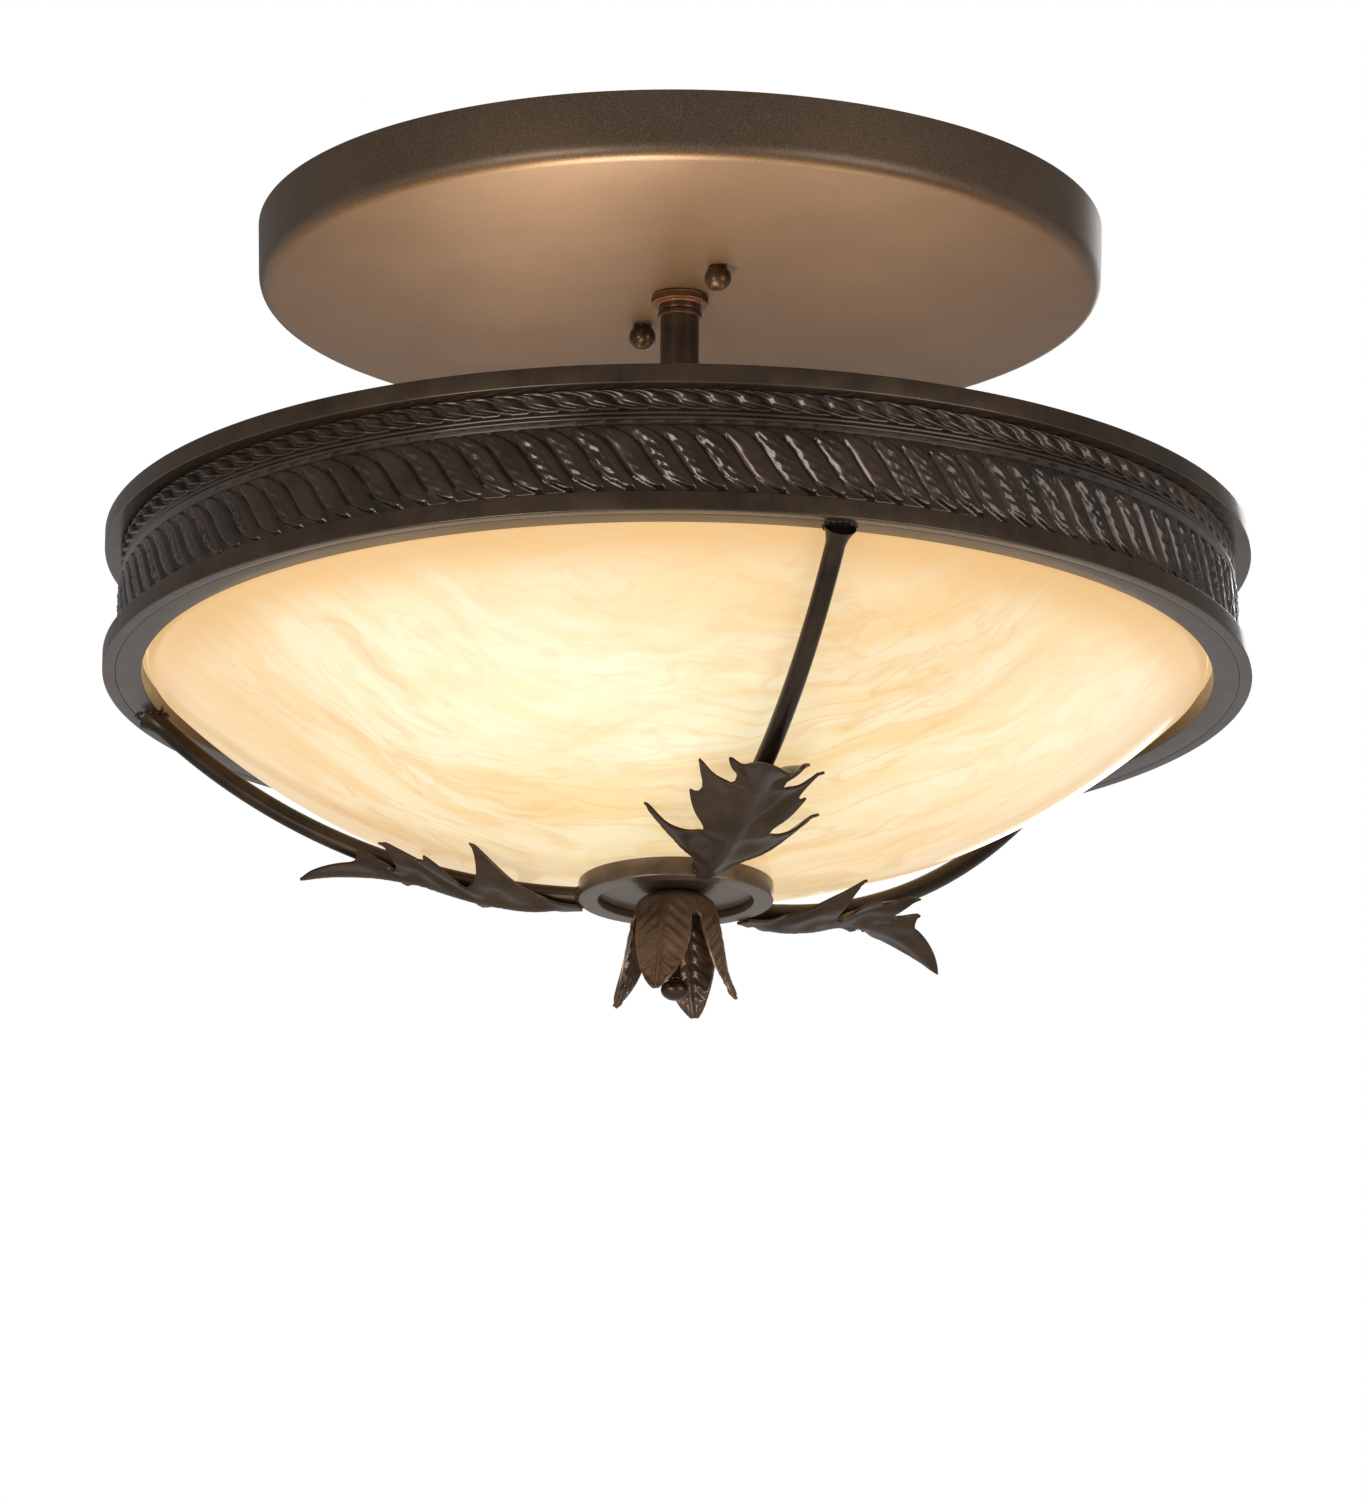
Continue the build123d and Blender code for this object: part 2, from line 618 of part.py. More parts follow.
def leaf_outline():
    """Half of a lobed oak leaf, as shares of its length and half width, from the stalk to the tip."""
    return [
        (0.09, 0.28), (0.21, 0.62), (0.32, 1.00), (0.365, 0.70), (0.38, 0.37), (0.44, 0.46),
        (0.50, 0.67), (0.54, 0.60), (0.60, 0.64), (0.67, 0.71), (0.655, 0.45), (0.65, 0.30),
        (0.71, 0.37), (0.77, 0.43), (0.83, 0.33), (0.90, 0.20),
    ]


def leaves():
    """A dished oak leaf of sheet metal under each arm."""
    half = leaf_outline()
    right = [(hub_radius + x * leaf_length, y * leaf_half_width) for x, y in half]
    left = [(x, -y) for x, y in reversed(right)]
    root = [(hub_radius, -leaf_root_half_width), (hub_radius, leaf_root_half_width)]
    tip = [(hub_radius + leaf_length, 0)]
    outline = FilletPolyline(*root, *right, *tip, *left, radius=leaf_corner_radius, close=True)
    blank = extrude(Plane.XY.offset(2 * hub_foot) * make_face(outline), -2 * hub_foot)
    blank -= tube(0, hub_radius, 2 * hub_foot, 0)
    steps_along = 15
    steps_across = 9
    start = hub_radius - leaf_blank_margin
    span = leaf_length + 2 * leaf_blank_margin
    reach = leaf_half_width + leaf_blank_margin
    bends = {
        "front": (leaf_front_grip, leaf_front_rise, leaf_front_tip_drop),
        "left": (leaf_left_grip, leaf_left_rise, leaf_left_tip_drop),
        "right": (leaf_right_grip, leaf_right_rise, leaf_right_tip_drop),
    }
    for name, azimuth in arm_azimuths.items():
        grid = []
        for i in range(steps_along):
            r = start + span * i / (steps_along - 1)
            row = []
            for j in range(steps_across):
                across = reach * (2 * j / (steps_across - 1) - 1)
                row.append(Vector(r, across, leaf_level(r, across, *bends[name])))
            grid.append(row)
        face = Face.make_surface_from_array_of_points(grid)
        sheet = Solid.thicken(face, leaf_sheet, normal_override=Vector(0, 0, -1))
        nodes[f"leaf_{name}"] = at_azimuth(sheet & blank, azimuth)


def finial_leaf_outline():
    """Half of a finial's leaf from the slit to near its tip, as shares of its half width and its length."""
    return [(0.93, 0.22), (1.00, 0.42), (0.90, 0.60), (0.62, 0.80)]


def finial():
    """The cup of four leaves, the threaded insert inside it and the ball on its stem."""
    top = finial_top
    flat = finial_dome_flat_radius
    tip = (finial_leaf_flare, top - finial_leaf_length)
    dome = (finial_dome_radius, top - finial_dome_height)
    waist = (finial_waist_radius, top - finial_waist_drop)
    side = Spline((flat, top), dome, waist, tip, tangents=[(1, 0), (0.55, -1)])
    sheet = finial_cup_sheet
    inside = Spline(
        (flat, top - sheet), (dome[0] - sheet, dome[1] - sheet / 2),
        (waist[0] - sheet, waist[1]), (tip[0] - sheet, tip[1]),
        tangents=[(1, 0), (0.55, -1)],
    )
    hole = pipe_radius + seat_gap
    edges = [
        Line((hole, top), (flat, top)), *side.edges(), Line(tip, (tip[0] - sheet, tip[1])),
        *inside.edges(), Line((flat, top - sheet), (hole, top - sheet)),
        Line((hole, top - sheet), (hole, top)),
    ]
    bell = revolve(Plane.XZ * make_face(Wire(edges)), Axis.Z)

    slit = top - finial_slit_start
    right = [(x * finial_leaf_half_width, top - y * finial_leaf_length) for x, y in finial_leaf_outline()]
    left = [(-x, z) for x, z in reversed(right)]
    shoulder = right[0][0]
    leaf_tip = (0, top - finial_leaf_length)
    outline = Polyline((shoulder, slit), *right[1:], leaf_tip, *left[:-1], (-shoulder, slit), close=True)
    reach = 2 * finial_leaf_flare
    prism = extrude(Plane.YZ * make_face(outline), reach)
    keep = tube(0, reach, slit, top)
    for number in range(finial_leaf_count):
        keep += Rot(0, 0, number * 360 / finial_leaf_count) * prism
    nodes["leaf_cup"] = at_azimuth(bell & keep, finial_azimuth)

    insert_top = top - sheet
    insert_foot = insert_top - finial_insert_length
    insert = tube(0, finial_insert_radius, insert_foot, insert_top)
    bore = pipe_radius + thread_clearance
    insert -= tube(0, bore, rod_foot - seat_gap, insert_top)
    nodes["finial_insert"] = insert

    middle = top - finial_ball_drop
    squash = finial_ball_half_height / finial_ball_radius
    ball = Pos(0, 0, middle) * scale(Sphere(finial_ball_radius), by=(1, 1, squash))
    nodes["finial_ball"] = ball + tube(0, finial_stem_radius, middle, insert_foot)


def main():
    ceiling_bars()
    hanging_hardware()
    stem()
    canopy()
    cluster()
    lamps()
    ring()
    bowl()
    hub()
    arms()
    leaves()
    finial()
    os.makedirs("parts", exist_ok=True)
    for name, shape in nodes.items():
        export_step(shape, f"parts/{name}.step")


main()
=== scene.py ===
import logging
from dataclasses import dataclass
from enum import Enum
from functools import cached_property
from math import acos, atan2, cos, exp, floor, hypot, pi, radians, sin, sqrt
from typing import Callable, Optional, Sequence, Union

import bmesh
import bpy
from mathutils import Matrix, Vector
from mathutils.geometry import delaunay_2d_cdt


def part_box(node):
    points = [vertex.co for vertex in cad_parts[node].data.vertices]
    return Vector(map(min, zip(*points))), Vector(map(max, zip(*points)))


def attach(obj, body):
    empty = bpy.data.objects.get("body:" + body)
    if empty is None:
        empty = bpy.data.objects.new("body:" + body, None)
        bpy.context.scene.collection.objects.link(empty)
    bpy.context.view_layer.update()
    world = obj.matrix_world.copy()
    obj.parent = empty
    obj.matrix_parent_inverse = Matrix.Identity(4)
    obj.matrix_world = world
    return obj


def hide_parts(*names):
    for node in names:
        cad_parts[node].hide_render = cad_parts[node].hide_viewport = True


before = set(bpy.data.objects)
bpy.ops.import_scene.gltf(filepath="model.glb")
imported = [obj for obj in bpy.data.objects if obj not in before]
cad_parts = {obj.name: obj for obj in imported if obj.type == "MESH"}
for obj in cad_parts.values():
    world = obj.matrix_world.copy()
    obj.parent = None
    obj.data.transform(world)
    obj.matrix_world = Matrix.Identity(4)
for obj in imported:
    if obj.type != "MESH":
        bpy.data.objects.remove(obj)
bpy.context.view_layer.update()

# Sizes are in millimetres and MM turns them into the frame's metres. Z = 0 is the ceiling.
# An azimuth is counted in degrees from the front (-Y) towards +X.
# Points nearer to the axis than AXIS_TOLERANCE are poles. Points closer than MERGE_DISTANCE become one
# and edges shorter than SLIVER vanish. SOFT_CORNER is the angle from which an edge is softened.
MM = 0.001
AXIS_TOLERANCE = 0.001
MERGE_DISTANCE = 0.002
SLIVER = 0.0005
SOFT_CORNER = 50.0
STUD_REACH = 49.2
STUD_AZIMUTH = 22.0

Point = tuple[float, float]
Point3 = tuple[float, float, float]
Points = Sequence[Sequence[float]]
Colour = tuple[float, float, float, float]
Section = Callable[[float], list[Point]]
Piece = bpy.types.Object
Socket = bpy.types.NodeSocket
Value = Union[float, int, Sequence[float], Socket]
Inputs = dict[Union[str, int], Value]

log = logging.getLogger("flush_mount")


class Body(Enum):
    """The bodies of the frame that pieces ride on."""

    CEILING_SIDE = "ceiling_side"
    CANOPY = "canopy"
    LOCK_RING = "lock_ring"
    BALL_NUT_FRONT = "ball_nut_front"
    BALL_NUT_BACK = "ball_nut_back"
    CAGE = "cage"
    FINIAL = "finial"
    BULB_1 = "bulb_1"
    BULB_2 = "bulb_2"
    BULB_3 = "bulb_3"


class Slot(Enum):
    """The record's material slots, one of which is named with each piece."""

    BRONZE = "bronze"
    CANOPY = "canopy_bronze"
    COPPER = "copper_bronze"
    LEAF = "leaf_bronze"
    ZINC = "zinc_steel"
    LAMP_GLASS = "lamp_glass"
    SOCKET = "socket_body"
    BOWL = "marbled_glass"


@dataclass(frozen=True)
class Room:
    """The room that a CAD node takes at rest.

    Attributes:
        reach: largest distance from the light's axis along X, in millimetres.
        foot: lowest level.
        top: highest level.
    """

    reach: float
    foot: float
    top: float

    @classmethod
    def of(cls, node: str) -> "Room":
        """The room of the named CAD node."""
        low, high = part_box(node)
        return cls(high.x / MM, low.z / MM, high.z / MM)


def tint(red: int, green: int, blue: int) -> Colour:
    """A linear colour from display values of 0 to 255."""
    def linear(value: int) -> float:
        """One channel without the display's curve."""
        share = value / 255
        return share / 12.92 if share <= 0.04045 else ((share + 0.055) / 1.055) ** 2.4
    return (linear(red), linear(green), linear(blue), 1.0)


def direction(azimuth: float) -> Vector:
    """The horizontal unit vector at an azimuth."""
    return Vector((sin(radians(azimuth)), -cos(radians(azimuth)), 0))


def turn_to(azimuth: float) -> Matrix:
    """Turns what was made along +X to an azimuth."""
    return Matrix.Rotation(radians(azimuth - 90), 4, "Z")


def at_studs() -> list[tuple[str, Matrix]]:
    """The side of each of the canopy's two studs and the move that takes a piece from the axis to it."""
    sides = (("front", STUD_AZIMUTH), ("back", STUD_AZIMUTH + 180))
    return [(side, Matrix.Translation(direction(azimuth) * STUD_REACH * MM)) for side, azimuth in sides]


def bell_curve(distance: float, width: float) -> float:
    """1 at no distance, falling off smoothly over a width."""
    return exp(-((distance / width) ** 2))


def eased(low: float, high: float, value: float) -> float:
    """0 below low, 1 above high and an even S between them."""
    share = min(max((value - low) / (high - low), 0.0), 1.0)
    return share * share * (3 - 2 * share)


# Outlines


def rounded(*corners: tuple[float, ...], steps: int = 4) -> list[Point]:
    """Points of a closed outline.

    Args:
        corners: (radius, height) or (radius, height, fillet) of each corner.
        steps: pieces of each fillet.

    Returns:
        The outline's points in order.
    """
    points: list[Point] = []
    for number, corner in enumerate(corners):
        here = Vector(corner[:2])
        if len(corner) < 3 or corner[2] <= 0:
            points.append((here.x, here.y))
            continue
        back = Vector(corners[number - 1][:2]) - here
        ahead = Vector(corners[(number + 1) % len(corners)][:2]) - here
        half = acos(max(-1.0, min(1.0, back.normalized().dot(ahead.normalized())))) / 2
        run = min(corner[2] / max(sin(half) / cos(half), 1e-6), 0.45 * back.length, 0.45 * ahead.length)
        start = here + back.normalized() * run
        end = here + ahead.normalized() * run
        for step in range(steps + 1):
            share = step / steps
            pull = here * (2 * share * (1 - share))
            bend = start * (1 - share) ** 2 + pull + end * share**2
            points.append((bend.x, bend.y))
    return points


def arc(
    centre: Point, radius: float, start: float, end: float, steps: int, squash: float = 1.0
) -> list[Point]:
    """Points of an arc from a start to an end angle in degrees, flattened in height by squash."""
    points = []
    for step in range(steps + 1):
        angle = radians(start + (end - start) * step / steps)
        points.append((centre[0] + radius * cos(angle), centre[1] + squash * radius * sin(angle)))
    return points


def smooth_line(knots: Sequence[Point], steps: int) -> list[Point]:
    """A smooth line through knots, with the same number of steps between each two."""
    ends = [knots[0], *knots, knots[-1]]
    points: list[Point] = []
    for number in range(1, len(ends) - 2):
        a, b, c, d = (Vector(ends[number + shift]) for shift in (-1, 0, 1, 2))
        for step in range(steps):
            t = step / steps
            square = (2 * a - 5 * b + 4 * c - d) * t**2
            cube = (3 * b - a - 3 * c + d) * t**3
            spot = 0.5 * (2 * b + (c - a) * t + square + cube)
            points.append((spot.x, spot.y))
    points.append(knots[-1])
    return points


# Meshes


def new_piece(name: str, points: Points, faces: Sequence[Sequence[int]]) -> Piece:
    """A mesh object at the origin.

    Args:
        name: the piece's name.
        points: vertices in millimetres.
        faces: vertex numbers of each face; a pair of numbers alone is an edge.

    Returns:
        The new object.
    """
    mesh = bpy.data.meshes.new(name)
    edges = [face for face in faces if len(face) == 2]
    polygons = [face for face in faces if len(face) > 2]
    mesh.from_pydata([Vector(point) * MM for point in points], edges, polygons)
    piece = bpy.data.objects.new(name, mesh)
    bpy.context.scene.collection.objects.link(piece)
    return piece


def closed_up(piece: Piece, sharp_angle: float = 32.0, turn_out: bool = True) -> Piece:
    """Merges doubled points, turns the faces outward and smooths all but the sharp edges."""
    work = bmesh.new()
    work.from_mesh(piece.data)
    bmesh.ops.remove_doubles(work, verts=work.verts, dist=MERGE_DISTANCE * MM)
    bmesh.ops.dissolve_degenerate(work, edges=work.edges, dist=SLIVER * MM)
    if turn_out:
        bmesh.ops.recalc_face_normals(work, faces=work.faces)
    work.to_mesh(piece.data)
    work.free()
    piece.data.shade_smooth()
    piece.data.set_sharp_from_angle(angle=radians(sharp_angle))
    return piece


def moved(piece: Piece, matrix: Matrix) -> Piece:
    """Puts the mesh itself in place, so that the object stays at the origin."""
    piece.data.transform(matrix)
    return piece


def painted(piece: Piece, finish: "Finish") -> Piece:
    """Gives a piece one finish all over."""
    piece.data.materials.clear()
    piece.data.materials.append(finish.material())
    return piece


def thickened(piece: Piece, sheet: float, edge: float, even: bool = False) -> Piece:
    """Gives an open sheet its thickness, inwards from its faces, and softens its edges."""
    wall = piece.modifiers.new("wall", "SOLIDIFY")
    wall.thickness = sheet * MM
    wall.offset = -1.0
    wall.use_even_offset = even
    soft_edge = piece.modifiers.new("soft_edge", "BEVEL")
    soft_edge.width = edge * MM
    soft_edge.segments = 2
    soft_edge.limit_method = "ANGLE"
    soft_edge.angle_limit = radians(SOFT_CORNER)
    applied(piece)
    piece.data.shade_smooth()
    return piece


def applied(piece: Piece) -> Piece:
    """Makes the result of a piece's modifiers its plain mesh."""
    bpy.context.view_layer.update()
    evaluated = piece.evaluated_get(bpy.context.evaluated_depsgraph_get())
    mesh = bpy.data.meshes.new_from_object(evaluated)
    piece.modifiers.clear()
    piece.data = mesh
    return piece


def lathe(
    name: str,
    outline: Sequence[Point],
    segments: int = 128,
    shape: Optional[Callable[[float, float], float]] = None,
) -> Piece:
    """Turns a closed outline round the Z axis.

    Args:
        name: the piece's name.
        outline: (radius, height) points in order; points on the axis become poles.
        segments: steps of the full turn.
        shape: gives the radius at (radius, angle) where it isn't round.

    Returns:
        The closed piece.
    """
    points: list[Point3] = []
    rings: list[list[int]] = []
    for radius, height in outline:
        if radius < AXIS_TOLERANCE:
            rings.append([len(points)] * segments)
            points.append((0.0, 0.0, height))
            continue
        rings.append(list(range(len(points), len(points) + segments)))
        for step in range(segments):
            angle = 2 * pi * step / segments
            reach = shape(radius, angle) if shape else radius
            points.append((reach * cos(angle), reach * sin(angle), height))
    faces = []
    for near, far in zip(rings, rings[1:] + rings[:1]):
        for step in range(segments):
            after = (step + 1) % segments
            face = list(dict.fromkeys([near[step], near[after], far[after], far[step]]))
            if len(face) > 2:
                faces.append(face)
    return closed_up(new_piece(name, points, faces))


def sector(name: str, section: Section, sweep: float, columns: int) -> Piece:
    """One slice of a ring whose section changes along the slice.

    Args:
        name: the slice's name.
        section: the closed (radius, height) outline at a share of the slice, always with as many points.
        sweep: the slice's angle in degrees.
        columns: steps along the slice.

    Returns:
        The slice, open at its two ends.
    """
    points: list[Point3] = []
    faces = []
    count = len(section(0.0))
    for column in range(columns + 1):
        angle = radians(sweep * column / columns)
        points += [(r * sin(angle), -r * cos(angle), z) for r, z in section(column / columns)]
    for column in range(columns):
        for row in range(count):
            after = (row + 1) % count
            near, far = column * count, (column + 1) * count
            faces.append((near + row, far + row, far + after, near + after))
    return new_piece(name, points, faces)


def chain(name: str, points: Points, loop: bool = False) -> Piece:
    """A line of edges through points, for a node group to follow."""
    edges = [(number, number + 1) for number in range(len(points) - 1)]
    if loop:
        edges.append((len(points) - 1, 0))
    return new_piece(name, points, edges)


# Node trees


class NodeTree:
    """A node tree whose nodes are added, set and linked in one call."""

    def __init__(self, tree: bpy.types.NodeTree) -> None:
        """Takes the tree that nodes go into."""
        self.tree = tree

    def fill(self, node: bpy.types.Node, inputs: Inputs) -> None:
        """Links or sets a node's inputs."""
        for label, value in inputs.items():
            socket = node.inputs[label]
            if isinstance(value, Socket):
                self.tree.links.new(value, socket)
            else:
                socket.default_value = value

    def add(self, kind: str, inputs: Optional[Inputs] = None, **settings: object) -> bpy.types.Node:
        """Adds a node, sets its settings and fills its inputs with values or links."""
        node = self.tree.nodes.new(kind)
        for label, value in settings.items():
            setattr(node, label, value)
        self.fill(node, inputs or {})
        return node

    def math(self, operation: str, first: Value, second: Value = 0.0) -> Socket:
        """The result of one sum."""
        return self.add("ShaderNodeMath", {0: first, 1: second}, operation=operation).outputs[0]

    def plus(self, first: Value, second: Value) -> Socket:
        """The sum of two values."""
        return self.math("ADD", first, second)

    def times(self, first: Value, second: Value) -> Socket:
        """The product of two values."""
        return self.math("MULTIPLY", first, second)


class NodeGroup(NodeTree):
    """A geometry node group with named inputs, which a host object runs once."""

    def __init__(self, name: str, inputs: dict[str, str]) -> None:
        """Opens the group.

        Args:
            name: the group's name.
            inputs: the socket type of each named input, without the word NodeSocket.
        """
        super().__init__(bpy.data.node_groups.new(name, "GeometryNodeTree"))
        sockets = self.tree.interface
        sockets.new_socket("Geometry", in_out="INPUT", socket_type="NodeSocketGeometry")
        sockets.new_socket("Geometry", in_out="OUTPUT", socket_type="NodeSocketGeometry")
        self.identifiers = {
            label: sockets.new_socket(label, in_out="INPUT", socket_type=f"NodeSocket{kind}").identifier
            for label, kind in inputs.items()
        }
        self.start = self.tree.nodes.new("NodeGroupInput")
        self.end = self.tree.nodes.new("NodeGroupOutput")

    def given(self, label: str) -> Socket:
        """The value of a named input."""
        return self.start.outputs[label]

    def finish(self, geometry: Socket) -> None:
        """Ends the group: instances made real, then the finish."""
        real = self.add("GeometryNodeRealizeInstances", {"Geometry": geometry})
        merged = self.add(
            "GeometryNodeMergeByDistance", {"Geometry": real.outputs[0], "Distance": self.given("Merge")}
        )
        coated = self.add(
            "GeometryNodeSetMaterial", {"Geometry": merged.outputs[0], "Material": self.given("Finish")}
        )
        self.tree.links.new(coated.outputs[0], self.end.inputs[0])

    def run(self, host: Piece, name: str, finish: "Finish", **sizes: Value) -> Piece:
        """Runs the group on a host, which is used up, and returns the result as a plain mesh.

        Args:
            host: the object that carries the modifier.
            name: the new piece's name.
            finish: the finish that the group sets.
            sizes: values of the named inputs.

        Returns:
            The new piece.
        """
        modifier = host.modifiers.new(self.tree.name, "NODES")
        modifier.node_group = self.tree
        modifier[self.identifiers["Finish"]] = finish.material()
        for label, value in sizes.items():
            modifier[self.identifiers[label]] = value
        applied(host)
        piece = bpy.data.objects.new(name, host.data)
        piece.data.name = name
        bpy.data.objects.remove(host)
        bpy.context.scene.collection.objects.link(piece)
        return piece


COMMON_INPUTS = {"Merge": "Float", "Finish": "Material"}


def around_axis_group() -> NodeGroup:
    """Repeats the host's mesh round the Z axis at even angles."""
    group = NodeGroup("around_axis", {"Count": "Int", **COMMON_INPUTS})
    module = group.add("GeometryNodeGeometryToInstance", {0: group.given("Geometry")})
    spots = group.add("GeometryNodePoints", {"Count": group.given("Count")})
    step = group.math("DIVIDE", 2 * pi, group.given("Count"))
    index = group.add("GeometryNodeInputIndex")
    angle = group.times(index.outputs[0], step)
    rotation = group.add("ShaderNodeCombineXYZ", {"Z": angle})
    copies = group.add(
        "GeometryNodeInstanceOnPoints",
        {"Points": spots.outputs[0], "Instance": module.outputs[0], "Rotation": rotation.outputs[0]},
    )
    group.finish(copies.outputs[0])
    return group


def round_bar_group() -> NodeGroup:
    """A round bar along the host's line, whose end swells into a foot."""
    labels = {"Radius": "Float", "Foot Radius": "Float", "Foot Length": "Float", "Sides": "Int"}
    group = NodeGroup("round_bar", {**labels, **COMMON_INPUTS})
    line = group.add("GeometryNodeMeshToCurve", {"Mesh": group.given("Geometry")})
    total = group.add("GeometryNodeCurveLength", {"Curve": line.outputs[0]})
    along = group.add("GeometryNodeSplineParameter")
    before = group.math("SUBTRACT", total.outputs[0], group.given("Foot Length"))
    swell = group.add(
        "ShaderNodeMapRange",
        {
            "Value": along.outputs["Length"], "From Min": before, "From Max": total.outputs[0],
            "To Min": group.given("Radius"), "To Max": group.given("Foot Radius"),
        },
        interpolation_type="SMOOTHSTEP",
    )
    section = group.add(
        "GeometryNodeCurvePrimitiveCircle", {"Resolution": group.given("Sides"), "Radius": 1.0}
    )
    bar = group.add(
        "GeometryNodeCurveToMesh",
        {
            "Curve": line.outputs[0], "Profile Curve": section.outputs[0],
            "Scale": swell.outputs[0], "Fill Caps": True,
        },
    )
    group.finish(bar.outputs[0])
    return group


def screw_thread_group() -> NodeGroup:
    """A helical ridge round the Z axis."""
    labels = {"Radius": "Float", "Depth": "Float", "Pitch": "Float", "Height": "Float", "Foot": "Vector"}
    group = NodeGroup("screw_thread", {**labels, **COMMON_INPUTS})
    turns = group.math("DIVIDE", group.given("Height"), group.given("Pitch"))
    helix = group.add(
        "GeometryNodeCurveSpiral",
        {
            "Resolution": 20, "Rotations": turns, "Start Radius": group.given("Radius"),
            "End Radius": group.given("Radius"), "Height": group.given("Height"),
        },
    )
    ridge = group.add("GeometryNodeCurvePrimitiveCircle", {"Resolution": 4, "Radius": 1.0})
    swept = group.add(
        "GeometryNodeCurveToMesh",
        {
            "Curve": helix.outputs[0], "Profile Curve": ridge.outputs[0],
            "Scale": group.given("Depth"), "Fill Caps": True,
        },
    )
    raised = group.add(
        "GeometryNodeTransform", {"Geometry": swept.outputs[0], "Translation": group.given("Foot")}
    )
    group.finish(raised.outputs[0])
    return group


def weld_group() -> NodeGroup:
    """Uneven beads of weld along the host's line."""
    group = NodeGroup("weld_beads", {"Count": "Int", "Bead": "Float", "Seed": "Int", **COMMON_INPUTS})
    line = group.add("GeometryNodeMeshToCurve", {"Mesh": group.given("Geometry")})
    spots = group.add(
        "GeometryNodeResampleCurve", {"Curve": line.outputs[0], "Count": group.given("Count")}
    )
    bead = group.add("GeometryNodeMeshIcoSphere", {"Radius": group.given("Bead"), "Subdivisions": 3})
    size = group.add(
        "FunctionNodeRandomValue",
        {0: (0.75, 0.75, 0.65), 1: (1.2, 1.2, 1.0), "Seed": group.given("Seed")},
        data_type="FLOAT_VECTOR",
    )
    beads = group.add(
        "GeometryNodeInstanceOnPoints",
        {"Points": spots.outputs[0], "Instance": bead.outputs[0], "Scale": size.outputs[0]},
    )
    group.finish(beads.outputs[0])
    return group


class Shop:
    """The node groups that the sub-assemblies share, each built once."""

    def __init__(self) -> None:
        """Builds the groups."""
        self.around_axis = around_axis_group()
        self.round_bar = round_bar_group()
        self.screw_thread = screw_thread_group()
        self.weld = weld_group()

    def ringed(self, module: Piece, name: str, count: int, finish: "Finish") -> Piece:
        """Repeats a module round the axis and closes the seams."""
        piece = self.around_axis.run(module, name, finish, Count=count, Merge=0.004 * MM)
        return closed_up(piece)

    def thread(
        self, name: str, radius: float, depth: float, pitch: float,
        foot: float, top: float, finish: "Finish",
    ) -> Piece:
        """A thread's ridge between two levels, at the origin of the XY plane."""
        host = chain(name + "_line", [(0, 0, foot), (0, 0, top)])
        piece = self.screw_thread.run(
            host, name, finish, Radius=radius * MM, Depth=depth * MM, Pitch=pitch * MM,
            Height=(top - foot - 2 * depth) * MM, Foot=(0, 0, (foot + depth) * MM), Merge=0.001 * MM,
        )
        return closed_up(piece)

    def bar(
        self, name: str, line: Points, radius: float, foot_radius: float,
        foot_length: float, finish: "Finish",
    ) -> Piece:
        """A round bar along a line, with a flared end."""
        host = chain(name + "_line", line)
        piece = self.round_bar.run(
            host, name, finish, Radius=radius * MM, Sides=28, Merge=0.001 * MM,
            **{"Foot Radius": foot_radius * MM, "Foot Length": foot_length * MM},
        )
        return closed_up(piece)

    def beads(
        self, name: str, line: Points, count: int, size: float, seed: int, finish: "Finish"
    ) -> Piece:
        """Weld beads along a closed line."""
        host = chain(name + "_line", line, loop=True)
        piece = self.weld.run(host, name, finish, Count=count, Bead=size * MM, Seed=seed, Merge=0.001 * MM)
        return closed_up(piece)


# Finishes


